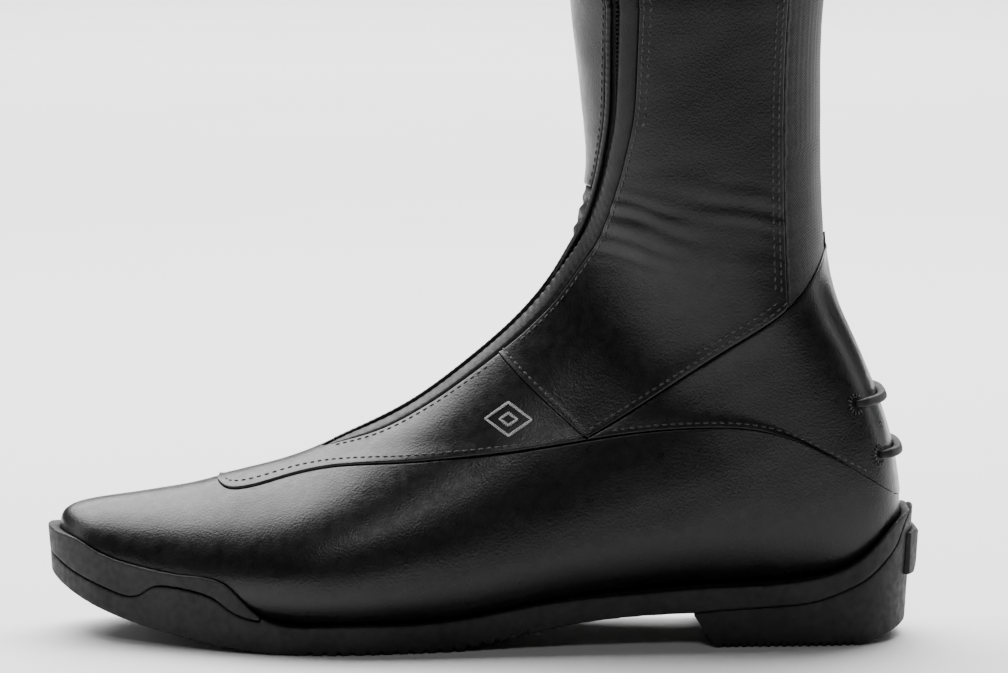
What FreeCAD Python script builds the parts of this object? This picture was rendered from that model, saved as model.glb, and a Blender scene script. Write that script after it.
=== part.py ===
"""A left tall riding boot with a front zip, modelled as separate pieces.

Millimetres, +Z up. The toe points to -X, the outer (lateral) side faces -Y and the boot stands on z = 0.
The upper is a form: cross-sections that stand upright along the foot, fan round the ankle about a pivot
in front of the instep, and lie flat up the shaft. A station is one number: below 0 it is the distance
forward of the pivot, from 0 to 90 it is the fan angle in degrees, and above 90 it is the height over the
pivot plus 90. Around a section, 0 is the front or top line and 1 or -1 the back or bottom line; the outer
(lateral) side is negative. Beside the zip, u is the distance across it, negative towards the outer side.
"""
import FreeCAD
import Part
import bisect
import math
import os

Vec = FreeCAD.Vector

# ---- driving dimensions of the form -------------------------------------------------------------
PIVOT_X, PIVOT_Z = -30.0, 165.0
TIP_X, TIP_Z = -144.8, 37.5
TIP_ROUNDING = 14.0
FORM_TOP_Z = 515.0

# (x, z) down the middle of the boot: toe tip, over the toe and instep, up the shin
FRONT_LINE = [
    (TIP_X, TIP_Z), (-144.2, 39.9), (-142.0, 42.2), (-137.0, 44.2), (-127.0, 46.0), (-112.0, 48.4),
    (-98.0, 51.2), (-83.0, 55.6), (-68.0, 59.6), (-56.0, 64.0), (-45.0, 69.0), (-34.0, 74.2),
    (-23.5, 80.0), (-13.0, 87.3), (-2.0, 96.0), (9.0, 105.6), (19.5, 117.0), (27.5, 129.0),
    (32.5, 141.0), (34.8, 153.0), (34.6, 170.0), (32.8, 190.0), (29.8, 217.0), (25.0, 260.0),
    (19.5, 310.0), (15.0, 360.0), (12.0, 410.0), (10.5, 460.0), (10.0, 515.0), (10.0, 560.0),
]
# (x, z) from the toe tip under the foot, round the heel and up the calf
BACK_LINE = [
    (TIP_X, TIP_Z), (-144.2, 34.6), (-141.5, 29.5), (-135.0, 23.8), (-122.0, 16.6), (-105.0, 11.4),
    (-85.0, 8.0), (-62.0, 6.4), (-35.0, 6.2), (-12.0, 7.2), (10.0, 10.4), (35.0, 14.6), (65.0, 17.2),
    (100.0, 18.2), (122.0, 19.4), (133.0, 22.8), (139.6, 30.0), (142.3, 41.0), (141.6, 55.0),
    (139.0, 68.0), (133.8, 84.0), (127.5, 99.0), (121.0, 113.0), (117.2, 127.0), (115.6, 142.0),
    (114.9, 165.0), (114.6, 190.0), (115.6, 217.0), (121.0, 255.0), (129.0, 300.0), (134.5, 345.0),
    (135.5, 385.0), (132.0, 430.0), (128.5, 470.0), (127.0, 515.0), (127.0, 560.0),
]
# station: lateral half-width, medial half-width, sideways shift of the middle
WIDTHS = [
    (-116.0, 17.0, 17.0, 7.0), (-105.0, 21.5, 21.5, 6.2), (-92.0, 27.0, 27.5, 5.0),
    (-80.0, 32.0, 33.0, 3.8), (-66.0, 37.5, 38.5, 2.4), (-52.0, 42.5, 43.5, 1.2), (-38.0, 46.5, 47.0, 0.2),
    (-22.0, 48.5, 47.5, -0.4), (0.0, 46.5, 43.0, -0.8), (15.0, 41.0, 37.0, -0.6), (30.0, 36.5, 34.0, 0.0),
    (45.0, 33.5, 32.5, 0.0), (60.0, 32.5, 32.5, 0.0), (75.0, 34.0, 34.0, 0.0), (90.0, 35.5, 35.5, 0.0),
    (115.0, 36.5, 36.5, 0.0), (142.0, 38.0, 38.5, 0.0), (190.0, 42.0, 44.5, 0.0), (240.0, 45.5, 51.0, 0.0),
    (300.0, 49.0, 56.0, 0.0), (340.0, 50.0, 56.0, 0.0), (440.0, 50.0, 54.0, 0.0),
]
# station: where the widest line lies (0 front, 1 back), how much the front narrows, squareness of the back
SHAPES = [
    (-116.0, 0.60, 0.05, 2.4), (-95.0, 0.62, 0.10, 2.8), (-60.0, 0.66, 0.22, 3.2), (-20.0, 0.70, 0.30, 3.4),
    (0.0, 0.72, 0.30, 3.4), (20.0, 0.70, 0.26, 3.3), (45.0, 0.62, 0.20, 3.1), (62.0, 0.56, 0.14, 2.8),
    (78.0, 0.52, 0.08, 2.3), (92.0, 0.53, 0.04, 2.1), (142.0, 0.54, 0.03, 2.05), (440.0, 0.55, 0.02, 2.05),
]

# ---- layers, as distances inwards from the outer face of the upper ------------------------------
LEATHER = 1.7
STIFFENER = (1.95, 2.75)
LINING = (3.25, 4.35)
KERF = 0.3
CUP_CLEARANCE = 0.35

# ---- zip: across it u is negative towards the outer side, n is outwards from the leather --------
ZIP_START = -23.0
ZIP_STRAIGHT_Z = 215.0
ZIP_TOP_Z = 474.0
ZIP_LINE_X = (44.0, 41.0)
ZIP_LINE_TOP_Y = -43.5
RUN_MIDDLE_Z, RUN_BLEND = 345.0, 30.0
RUN_INNER_U, RUN_OUTER_U, RUN_CURVE = 4.2, 8.0, 1 / 130
# station: distance of the zip behind the front line
ZIP_SETBACK = [
    (-30.0, 0.10), (0.0, 0.10), (45.0, 0.12), (56.0, 0.30), (62.0, 0.9), (68.0, 2.0), (75.0, 3.0),
    (82.0, 4.4), (90.0, 6.4), (102.0, 9.1), (115.0, 11.0), (130.0, 12.9), (140.0, 14.2),
]
GAP = 2.6
BAND_WIDTH = 8.0
BAND_TIP = -25.0
PIPING_WIDTH, PIPING_RISE = 2.0, 0.6
TAPE_EDGE, TAPE_REACH = 0.75, 5.0
PIPING_START = -20.8
TAPE, TAPE_CLEARANCE = (-2.5, -2.9), 0.2
COIL_EDGE, COIL_REACH = 0.7, 2.9
COIL, COIL_ENDS = (-2.95, -4.4), (3.0, 6.0)
LINING_SLOT = 8.6
GUARD = (-6.7, -7.6)
GUARD_REACH = 9.0
GUARD_START = 76.0
STOP_LENGTHS = (2.7, 3.2)
SLIDER_Z, SLIDER_HALF_LENGTH = 430.0, 6.0
SLIDER_HALF_WIDTH, SLIDER_FLANGE = 3.9, 0.6
SLIDER_BACK, SLIDER_FLANGE_TOP = (-6.1, -5.2), -3.1
WEB_HALF_WIDTH, WEB_HALF_LENGTH, WEB_TOP = 0.3, 4.5, -0.6
BRIDGE_HALF_WIDTH, BRIDGE = 0.9, (-1.6, 3.9)
PULL_PIN, PIN_RADIUS, PIN_HOLE_RADIUS = 2.4, 0.65, 1.0
CHEEK, CHEEK_ALONG, CHEEK_HALF_HEIGHT = (1.3, 2.3), (-7.0, 1.1), 0.9
PULL_HALF_WIDTH, PULL_ALONG, PULL_HALF_HEIGHT = 3.2, (-26.0, -6.0), 0.6
TAB_Z, TAB_HALF_HEIGHT = 458.0, 9.0
TAB_HINGE_U, TAB_END_U = -12.0, 18.0
TAB = (1.0, 2.6)
TAB_BASE_REACH, TAB_FOLD_RADIUS = 9.0, 0.8
SNAP_U = 11.5
STUD_RADIUS, STUD = 3.6, (0.15, 0.6)
CAP_RADIUS, CAP_STANDOFF, CAP_HEIGHT = 6.0, 0.1, 1.2

# ---- outlines seen from the side (x, z) ---------------------------------------------------------
VAMP_SEAM = [
    (-90.5, 53.2), (-88.0, 52.0), (-82.0, 51.9), (-74.0, 53.8), (-62.0, 57.4), (-50.0, 60.2), (-28.0, 62.6),
    (-7.0, 64.8), (13.0, 67.2), (33.0, 70.4), (54.0, 73.4), (74.0, 74.8), (90.0, 74.4), (102.0, 71.6),
    (115.0, 65.6), (125.5, 59.8), (134.0, 54.4), (143.5, 47.6),
]
VAMP_MEDIAL_X = -38.0
QUARTER_STATIONS = (-62.0, 38.0)
SHAFT_FOOT, HEEL_QUARTER_FOOT = 26.0, 30.0
BACK_PIECE_SPAN = (0.22, 1.78)
UPPER_TOP_Z, OVER_TOP_Z = 500.0, 495.0
QUARTER_NOTCH = [(-2.0, 106.0), (7.8, 95.4), (20.0, 84.0), (35.5, 70.6), (42.0, 64.0)]
HEEL_SEAM = [
    (24.0, 66.0), (35.5, 71.4), (60.0, 86.5), (84.0, 102.5), (103.0, 115.5), (110.0, 123.0), (120.0, 139.0),
]
GORE_LINE = [
    (102.0, 114.9), (100.6, 150.0), (100.4, 190.0), (102.6, 230.0), (112.0, 290.0),
    (119.5, 350.0), (120.5, 400.0), (116.5, 450.0), (114.0, FORM_TOP_Z),
]
SHIN_SEAM_SETBACK = 24.0
GUSSET_FROM, GUSSET_TO = 57.0, 80.0
TOP_LATERAL = [
    (0.0, 466.0), (30.0, 474.0), (55.0, 486.0), (75.0, 489.0), (100.0, 477.0), (120.0, 462.0), (140.0, 456.0),
]
TOP_MEDIAL = [(0.0, 466.0), (40.0, 462.0), (80.0, 457.0), (110.0, 455.0), (140.0, 456.0)]

# ---- sole ---------------------------------------------------------------------------------------
# (x, y on the outer side, y on the inner side) between the toe's and the heel's ends
SOLE_TOE, SOLE_HEEL = (-149.6, 5.5), (147.3, 0.0)
SOLE_PLAN = [
    (-148.6, -0.5, 11.5), (-146.0, -6.0, 17.0), (-141.0, -12.0, 23.5), (-134.0, -18.2, 30.2),
    (-122.0, -25.2, 35.4), (-110.0, -31.6, 39.8), (-98.0, -37.2, 43.3), (-86.0, -42.4, 46.2),
    (-74.0, -46.4, 48.0), (-62.0, -48.4, 48.0), (-50.0, -49.0, 46.6), (-38.0, -48.2, 44.2),
    (-26.0, -46.2, 41.2), (-12.0, -43.2, 38.0), (4.0, -40.2, 35.4), (22.0, -38.2, 34.2),
    (44.0, -36.4, 33.4), (66.0, -34.8, 32.6), (88.0, -33.4, 31.8), (106.0, -32.4, 31.2),
    (120.0, -31.2, 30.4), (131.0, -28.2, 27.8), (139.5, -21.8, 21.6), (144.8, -12.8, 12.8),
]
SOLE_TOP_Z, SOLE_DRAFT = 46.0, 3.0
RIM_LINE = [
    (-160.0, 39.6), (-146.0, 38.6), (-139.0, 35.4), (-132.0, 31.6), (-121.0, 28.0), (-110.0, 26.2),
    (-100.0, 25.4), (-91.0, 25.0), (-86.0, 23.4), (-79.5, 17.6), (-72.5, 12.0), (-68.0, 10.4), (-50.0, 9.8),
    (-28.0, 9.8), (-12.0, 10.4), (4.0, 12.6), (22.0, 15.8), (48.0, 18.4), (78.0, 20.6), (100.0, 21.6),
    (112.0, 23.2), (122.0, 26.2), (129.0, 30.4), (135.0, 36.2), (140.5, 41.4), (155.0, 42.0),
]
BUMPER_LINE = [
    (-160.0, 31.0), (-149.5, 28.4), (-142.0, 24.0), (-133.0, 20.2), (-125.0, 17.6), (-119.0, 16.4),
    (-115.0, 17.4), (-111.0, 20.2), (-105.0, 21.0), (-96.5, 20.0), (-90.5, 18.4), (-86.5, 16.0),
    (-82.5, 13.4), (-78.0, 11.9), (-72.0, 11.0), (-66.0, 11.0),
]
BOTTOM_LINE = [
    (-160.0, 27.0), (-149.0, 20.6), (-143.5, 17.2), (-138.5, 14.6), (-133.0, 12.2), (-122.0, 8.6),
    (-111.0, 5.9), (-96.0, 3.2), (-80.0, 1.2), (-66.0, 0.1),
]
BALL_FLAT = (-62.0, -16.0)
BUMPER_END_X = -73.5
WAIST_LINE = [(-12.0, 0.2), (-1.0, 1.7), (6.0, 3.2), (20.0, 6.6), (33.0, 9.0), (47.0, 10.6), (71.0, 11.8)]
RAND_LINE = [
    (71.0, 11.8), (80.0, 12.7), (101.0, 14.0), (113.0, 15.6), (121.0, 18.4), (129.0, 22.2),
    (136.0, 28.0), (141.0, 34.4), (143.6, 40.6), (150.0, 46.0),
]
HEEL_BREAST_FOOT_X = 78.5
HEEL_REAR_FLAT_X, HEEL_REAR_RISE = 128.0, 3.4
HEEL_TEETH = (81.0, 126.0)
HEEL_PITCH, HEEL_GROOVE, HEEL_GROOVE_DEPTH = 2.7, 1.3, 1.3
TREAD = (-58.0, 18.0)
TREAD_PITCH, TREAD_GROOVE, TREAD_DEPTH = 4.8, 1.8, 1.1
GROOVE_OUTER_Y, GROOVE_INNER_Y, GROOVE_SINK = 60.0, 26.0, 4.0
LEDGE = [
    (140.0, 35.4), (148.0, 36.6), (149.4, 35.0), (149.9, 31.0), (149.4, 26.5), (147.2, 21.6), (140.0, 22.0),
]
LEDGE_HALF_WIDTH, LEDGE_GROW, LEDGE_SINK = 13.0, 2.7, 0.1
SHANK = (-18.0, 92.0)
SHANK_WIDTH, SHANK_RISE, SHANK_THICKNESS = 14.0, 0.3, 1.2
BOARD = (2.0, 4.2)
FOOTBED, FOOTBED_INSET = (4.7, 9.0), 7.6
LINING_FOOT, LINING_SPLIT, LINING_TOE, LINING_TOE_SPAN = 5.0, 42.0, -109.0, 0.9
STIFFENER_FOOT, TOE_PUFF_SPAN = 6.0, (-150.0, -90.0)
COUNTER = [(66, 22), (160, 22), (160, 68), (112, 68), (78, 44)]
BINDING, BINDING_RISE, BINDING_Z = (-0.5, LINING[1] + 0.3), (0.3, 4.2), (440.0, 505.0)
MARGIN = 14.0
UNDERFOOT = BACK_LINE[3:16]

# ---- heel strips, as (x, z) at the front end and at the back, and their height ------------------
SPUR_STRIPS = {
    "spur_rest_upper": ((125.5, 82.0), (150.0, 83.0)),
    "spur_rest_lower": ((134.0, 64.4), (155.0, 64.0)),
}
STRIP_HEIGHT, STRIP_STANDOFF, STRIP_THICKNESS = 3.1, 0.3, 3.1

PARTS = {}


def spline(table, column=1):
    """A smooth function through the table's (key, value) pairs, flat beyond its ends."""
    keys = [row[0] for row in table]
    values = [row[column] for row in table]
    slopes = []
    for i in range(len(keys)):
        lo, hi = max(i - 1, 0), min(i + 1, len(keys) - 1)
        slopes.append((values[hi] - values[lo]) / (keys[hi] - keys[lo]))

    def at(key):
        if key <= keys[0]:
            return values[0]
        if key >= keys[-1]:
            return values[-1]
        i = bisect.bisect_right(keys, key) - 1
        span = keys[i + 1] - keys[i]
        t = (key - keys[i]) / span
        a = (1 + 2 * t) * (1 - t) ** 2 * values[i] + t * (1 - t) ** 2 * span * slopes[i]
        return a + t * t * (3 - 2 * t) * values[i + 1] - t * t * (1 - t) * span * slopes[i + 1]

    return at


def outline(points, count=500):
    """Points along a smooth curve through (x, z) points."""
    curve = Part.BSplineCurve()
    curve.interpolate([Vec(x, 0, z) for x, z in points])
    return [(p.x, p.z) for p in curve.discretize(Number=count)]


FRONT_POINTS = outline(FRONT_LINE, 900)
BACK_POINTS = outline(BACK_LINE, 900)
WIDTH_LATERAL, WIDTH_MEDIAL, MIDDLE = (spline(WIDTHS, i) for i in (1, 2, 3))
WIDEST, NARROWING, SQUARENESS = (spline(SHAPES, i) for i in (1, 2, 3))


def shifted(points, inset, turn):
    """The outline moved inwards; turn is 1 where the inside is on the right, -1 where it is on the left."""
    moved = []
    for i, (x, z) in enumerate(points):
        before, after = points[max(i - 1, 0)], points[min(i + 1, len(points) - 1)]
        dx, dz = after[0] - before[0], after[1] - before[1]
        length = math.hypot(dx, dz)
        moved.append((x + turn * inset * dz / length, z - turn * inset * dx / length))
    return moved


def section_plane(station):
    """The origin and direction (x, z) of the section's middle line."""
    if station < 0:
        return (PIVOT_X + station, PIVOT_Z), (0.0, -1.0)
    if station <= 90:
        angle = math.radians(station)
        return (PIVOT_X, PIVOT_Z), (math.sin(angle), -math.cos(angle))
    return (PIVOT_X, PIVOT_Z + station - 90), (1.0, 0.0)


def station_of(x, z):
    """The station whose section passes through (x, z)."""
    if x < PIVOT_X:
        return x - PIVOT_X
    if z > PIVOT_Z:
        return 90 + z - PIVOT_Z
    return math.degrees(math.atan2(x - PIVOT_X, PIVOT_Z - z))


def crossings(points, origin, along):
    """Distances along a section's middle line at which an outline crosses it."""
    found = []
    before = None
    for x, z in points:
        rx, rz = x - origin[0], z - origin[1]
        side = rx * along[1] - rz * along[0]
        reach = rx * along[0] + rz * along[1]
        if before and (before[0] <= 0) != (side <= 0):
            t = before[0] / (before[0] - side)
            found.append(before[1] + t * (reach - before[1]))
        before = (side, reach)
    return [r for r in found if r > 0]


def straight_run(z):
    """(x, y) of the zip's straight upper run at height z."""
    t = (z - ZIP_STRAIGHT_Z) / (ZIP_TOP_Z - ZIP_STRAIGHT_Z)
    x = ZIP_LINE_X[0] + t * (ZIP_LINE_X[1] - ZIP_LINE_X[0])
    return x, ZIP_LINE_START_Y + t * (ZIP_LINE_TOP_Y - ZIP_LINE_START_Y)


def station_at(z):
    """The station of the level section at height z."""
    return 90 + z - PIVOT_Z


class Form:
    """The boot's form, inset by a distance from the outer face of the upper. Its outer side holds the
    zip's straight run, unless follows_run is false."""

    def __init__(self, inset=0.0, follows_run=True):
        self.inset = inset
        self.follows_run = follows_run
        self.front = shifted(FRONT_POINTS, inset, 1)
        self.back = shifted(BACK_POINTS, inset, -1)
        self.sections = {}

    def section(self, station):
        key = round(station, 5)
        if key not in self.sections:
            self.sections[key] = Section(self, station)
        return self.sections[key]

    def point(self, station, around):
        return self.section(station).point(around)

    def normal(self, station, around):
        """Outward unit normal, by differences."""
        step, turn = 0.4, 0.004
        along = self.point(station + step, around) - self.point(station - step, around)
        if abs(around) > 1 - turn:
            around = math.copysign(1 - turn, around)
        across = self.point(station, around + turn) - self.point(station, around - turn)
        return along.cross(across).normalize()

    def y_at(self, x, z, side):
        """The surface's y at (x, z), on the lateral (-1) or medial (1) side."""
        section = self.section(station_of(x, z))
        reach = (x - section.origin[0]) * section.along[0] + (z - section.origin[1]) * section.along[1]
        return section.middle + side * section.half_width(reach, side)

    def solid(self, top=FORM_TOP_Z):
        """The form as one closed solid."""
        rows = [[self.point(s, v) for v in COLUMNS] for s in form_stations(self.inset, top)]
        surface = Part.BSplineSurface()
        surface.interpolate(rows)
        surface.setVPeriodic()
        rings = [Part.Wire([surface.uIso(u).toShape()]) for u in (0.0, 1.0)]
        shell = Part.Shell([surface.toShape()] + [Part.Face(ring) for ring in rings])
        shell.sewShape()
        return outward(Part.Solid(shell))


class Section:
    SAMPLES = 160

    def __init__(self, form, station):
        inset = form.inset
        self.origin, self.along = section_plane(station)
        self.near = min(crossings(form.front, self.origin, self.along))
        self.far = max(crossings(form.back, self.origin, self.along))
        tip = max(0.0, self.origin[0] - TIP_X - inset) if station < 0 else TIP_ROUNDING
        blend = max(0.0, 1 - tip / (2.5 * TIP_ROUNDING)) if station < 0 else 0.0
        looked_up = station - inset * blend
        narrow = 1.0
        if tip < TIP_ROUNDING:
            narrow = math.sqrt(max(1e-6, 1 - (1 - tip / TIP_ROUNDING) ** 2))
        self.middle = MIDDLE(station)
        self.widest = WIDEST(station)
        self.narrowing = NARROWING(station)
        self.power = SQUARENESS(station)
        self.width = {
            -1: (WIDTH_LATERAL(looked_up) - inset * (1 - blend)) * narrow,
            1: (WIDTH_MEDIAL(looked_up) - inset * (1 - blend)) * narrow,
        }
        height = PIVOT_Z + station - 90
        if form.follows_run and station > 90 and height > ZIP_STRAIGHT_Z:
            self.width[-1] = outer_width_on_run(height) - inset
        self.tables = {}

    def half_width(self, reach, side):
        """Half-width at a distance along the middle line."""
        waist = self.near + self.widest * (self.far - self.near)
        if reach <= waist:
            c = min(1.0, (waist - reach) / (waist - self.near))
            return self.width[side] * math.sqrt(1 - c * c) * (1 - self.narrowing * c * c)
        c = min(1.0, (reach - waist) / (self.far - waist))
        return self.width[side] * (1 - c**self.power) ** (1 / self.power)

    def table(self, side):
        """Reach and half-width from front to back, with the arc length so far."""
        if side not in self.tables:
            waist = self.near + self.widest * (self.far - self.near)
            rows, length = [], 0.0
            for i in range(self.SAMPLES + 1):
                angle = math.pi * i / self.SAMPLES
                c, s = math.cos(angle), math.sin(angle)
                if c >= 0:
                    reach = waist - c * (waist - self.near)
                    half = self.width[side] * s * (1 - self.narrowing * c * c)
                else:
                    reach = waist + abs(c) ** (2 / self.power) * (self.far - waist)
                    half = self.width[side] * abs(s) ** (2 / self.power)
                if rows:
                    length += math.hypot(reach - rows[-1][0], half - rows[-1][1])
                rows.append((reach, half, length))
            self.tables[side] = rows
        return self.tables[side]

    def point(self, around):
        side = 1 if around > 0 else -1
        rows = self.table(side)
        goal = min(1.0, abs(around)) * rows[-1][2]
        i = min(bisect.bisect_left([r[2] for r in rows], goal), len(rows) - 1)
        i = max(i, 1)
        a, b = rows[i - 1], rows[i]
        t = (goal - a[2]) / max(b[2] - a[2], 1e-9)
        reach, half = a[0] + t * (b[0] - a[0]), a[1] + t * (b[1] - a[1])
        x = self.origin[0] + self.along[0] * reach
        z = self.origin[1] + self.along[1] * reach
        return Vec(x, self.middle + side * half, z)

    def around_at(self, reach, side):
        """How far around the section the surface lies at a distance along the middle line."""
        rows = self.table(side)
        for a, b in zip(rows, rows[1:]):
            if b[0] >= reach:
                t = (reach - a[0]) / max(b[0] - a[0], 1e-9)
                return side * (a[2] + t * (b[2] - a[2])) / rows[-1][2]
        return side * 1.0

    def girth(self, side):
        return self.table(side)[-1][2]


COLUMNS = [i / 20 for i in range(-20, 21)]


def form_stations(inset, top):
    """Stations from the toe tip to the top, closer together where the form turns quickly."""
    start = TIP_X + inset - PIVOT_X
    tip = [start + d for d in (0.15, 0.6, 1.4, 2.6, 4.2, 6.4, 9.2, 12.6, 17.0, 22.0)]
    foot_end = -4.0
    foot = [tip[-1] + (foot_end - tip[-1]) * i / 13 for i in range(1, 14)]
    fan = [4.0 * i for i in range(0, 23)]
    shaft_top = 90 + top - PIVOT_Z
    shaft = [92 + (shaft_top - 92) * i / 26 for i in range(27)]
    return tip + foot + fan + shaft


def outer_width_on_run(height):
    """The lateral half-width that puts the zip's straight run on the outer face."""
    x, y = straight_run(height)
    near = min(crossings(FRONT_POINTS, (PIVOT_X, height), (1.0, 0.0)))
    far = max(crossings(BACK_POINTS, (PIVOT_X, height), (1.0, 0.0)))
    station = station_at(height)
    waist = near + WIDEST(station) * (far - near)
    c = (waist - (x - PIVOT_X)) / (waist - near)
    return (MIDDLE(station) - y) / (math.sqrt(1 - c * c) * (1 - NARROWING(station) * c * c))


ZIP_LINE_START_Y = Form(follows_run=False).y_at(ZIP_LINE_X[0], ZIP_STRAIGHT_Z, -1)
OUTER = Form()
SETBACK = spline(ZIP_SETBACK)


def zip_around(station):
    """Where the zip's middle lies around a section."""
    section = OUTER.section(station)
    height = PIVOT_Z + station - 90
    if station > 90 and height > ZIP_STRAIGHT_Z:
        return section.around_at(straight_run(height)[0] - PIVOT_X, -1)
    return section.around_at(section.near + SETBACK(station), -1)


class ZipFrame:
    """A local frame on the zip's middle line: along it, outwards, and across towards the inner side."""

    def __init__(self, station):
        around = zip_around(station)
        self.point = OUTER.point(station, around)
        step = 1.0
        ahead = OUTER.point(station + step, zip_around(station + step))
        behind = OUTER.point(station - step, zip_around(station - step))
        self.along = (ahead - behind).normalize()
        outwards = OUTER.normal(station, around)
        self.out = (outwards - self.along * outwards.dot(self.along)).normalize()
        self.across = self.along.cross(self.out).normalize()
        if self.across.y < 0:
            self.across = self.across * -1

    def at(self, u, n):
        return self.point + self.across * u + self.out * n


def zip_point(station, u, n):
    """A point u across the zip and n outwards. Near the straight run's middle all sections are alike."""
    around = zip_around(station)
    turned = around + u / OUTER.section(station).girth(-1)
    on_leather = OUTER.point(station, turned) + OUTER.normal(station, turned) * n
    run_share = min(1.0, max(0.0, (station - RUN_START + RUN_BLEND) / RUN_BLEND))
    edge_share = min(1.0, max(0.0, (RUN_OUTER_U - abs(u)) / (RUN_OUTER_U - RUN_INNER_U)))
    share = run_share * edge_share
    if share == 0:
        return on_leather
    middle = OUTER.point(station, around)
    on_run = middle + RUN.across * u + RUN.out * (n - RUN_CURVE * u * u)
    return on_leather * (1 - share) + on_run * share


RUN = ZipFrame(station_at(RUN_MIDDLE_Z))
RUN_START, ZIP_END = station_at(ZIP_STRAIGHT_Z), station_at(ZIP_TOP_Z)


def outward(solid):
    if solid.Volume < 0:
        solid.reverse()
    return solid


def line_through(points):
    curve = Part.BSplineCurve()
    curve.interpolate(points)
    return curve.toShape()


def ribbon(columns, first, last, count=110):
    """A closed solid along the zip; columns are (u, outer n, inner n), in order across it."""
    stations = [first + (last - first) * i / (count - 1) for i in range(count)]
    corners = [(u, outer) for u, outer, inner in columns]
    corners += [(u, inner) for u, outer, inner in reversed(columns)]
    lines = [[zip_point(s, u, n) for s in stations] for u, n in corners]
    edges = [line_through(points) for points in lines]
    faces = [Part.makeRuledSurface(a, b) for a, b in zip(edges, edges[1:] + edges[:1])]
    width = len(columns)
    for end in (0, -1):
        ring = [points[end] for points in lines]
        outer, inner = ring[:width], ring[width:][::-1]
        for i in range(width - 1):
            rails = [Part.makeLine(row[i], row[i + 1]) for row in (outer, inner)]
            faces.append(Part.makeRuledSurface(*rails))
    shell = Part.Shell(faces)
    shell.sewShape()
    return outward(Part.Solid(shell))


def level(u_from, u_to, outer, inner, pieces=4):
    """Columns of even thickness from one side of the zip to the other."""
    step = (u_to - u_from) / pieces
    return [(u_from + step * i, outer, inner) for i in range(pieces + 1)]


def seam(points, rise=0.0):
    """A smooth edge through (x, z) points, moved up by rise."""
    return line_through([Vec(x, 0, z + rise) for x, z in points])


def prism(edges_or_points, y_from, y_to):
    """A solid across Y over a closed outline of edges and (x, z) corners, joined by straight lines."""
    edges = []
    last = None
    first = None
    for item in edges_or_points:
        if isinstance(item, tuple):
            start = end = Vec(item[0], 0, item[1])
        else:
            start, end = item.valueAt(item.FirstParameter), item.valueAt(item.LastParameter)
        if last is None:
            first = start
        elif (start - last).Length > 1e-6:
            edges.append(Part.makeLine(last, start))
        if not isinstance(item, tuple):
            edges.append(item)
        last = end
    edges.append(Part.makeLine(last, first))
    face = Part.Face(Part.Wire(edges))
    face.translate(Vec(0, y_from, 0))
    return face.extrude(Vec(0, y_to - y_from, 0))


SIDE = 90.0
LOW, HIGH, AHEAD, BEHIND = -20.0, FORM_TOP_Z + 40.0, -220.0, 220.0


def beyond(points, rise, level, y_from=-SIDE, y_to=SIDE):
    """Everything between a level and a seam moved up by rise, seen from the side."""
    first, last = points[0][1] + rise, points[-1][1] + rise
    corners = [(BEHIND, last), (BEHIND, level), (AHEAD, level), (AHEAD, first)]
    return prism([seam(points, rise)] + corners, y_from, y_to)


def below(points, rise=0.0, y_from=-SIDE, y_to=SIDE):
    return beyond(points, rise, LOW, y_from, y_to)


def above(points, rise=0.0):
    return beyond(points, rise, HIGH)


def keep(name, shape, count=1):
    """Keep a named piece, of one or more separate solids, the largest first."""
    solids = sorted(shape.Solids, key=lambda s: -s.Volume)[:count]
    PARTS[name] = solids[0] if count == 1 else Part.makeCompound(solids)
    return PARTS[name]


# ---- upper --------------------------------------------------------------------------------------
def shell_between(outer_inset, inner_inset):
    return Form(outer_inset).solid().cut(Form(inner_inset).solid())


def under_top(rise=0.0):
    """Everything under the boot's top edge, which is higher on the outer side."""
    return below(TOP_LATERAL, rise, -SIDE, 0).fuse(below(TOP_MEDIAL, rise, 0, SIDE))


def patch(outer_inset, inner_inset, first, last, start, end, rows=None, columns=28):
    """A closed solid of the upper between two stations and two lines around it, start(s) and end(s).
    A line beyond -1 or 1 goes on round the back."""
    rows = rows or max(6, int((last - first) / 5))
    stations = [first + (last - first) * i / rows for i in range(rows + 1)]
    skins = []
    for inset in (outer_inset, inner_inset):
        form = Form(inset)
        grid = []
        for s in stations:
            a, b = start(s), end(s)
            grid.append([form.point(s, wrapped(a + (b - a) * j / columns)) for j in range(columns + 1)])
        surface = Part.BSplineSurface()
        surface.interpolate(grid)
        skins.append(surface)
    outer, inner = skins
    faces = [outer.toShape(), inner.toShape()]
    for iso in ("uIso", "vIso"):
        for value in (0.0, 1.0):
            edges = [getattr(skin, iso)(value).toShape() for skin in skins]
            faces.append(Part.makeRuledSurface(*edges))
    shell = Part.Shell(faces)
    shell.sewShape()
    return outward(Part.Solid(shell))


def wrapped(around):
    if around > 1:
        return around - 2
    if around < -1:
        return around + 2
    return around


def beside_zip(u):
    """The line at u across the zip, as a function of the station."""
    return lambda s: zip_around(s) + u / OUTER.section(s).girth(-1)


def band_width(s):
    """The ribbed band tapers to a point at the zip's lower end."""
    t = min(1.0, max(0.0, (s - BAND_TIP) / 24.0))
    return BAND_WIDTH * math.sin(t * math.pi / 2)


def outer_zip_edge(s):
    """Where the leather ends on the zip's outer side."""
    if s < BAND_TIP:
        return -KERF / 2 / OUTER.section(s).girth(-1)
    opening = GAP / 2 * min(1.0, (s - BAND_TIP) / 4.0)
    return beside_zip(-(opening + band_width(s) + KERF))(s)


def inner_zip_edge(s):
    """Where the leather ends on the zip's inner side."""
    if s < BAND_TIP:
        return KERF / 2 / OUTER.section(s).girth(1)
    share = min(1.0, (s - BAND_TIP) / 4.0)
    return beside_zip(share * (GAP / 2 + PIPING_WIDTH + 2 * KERF))(s)


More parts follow.
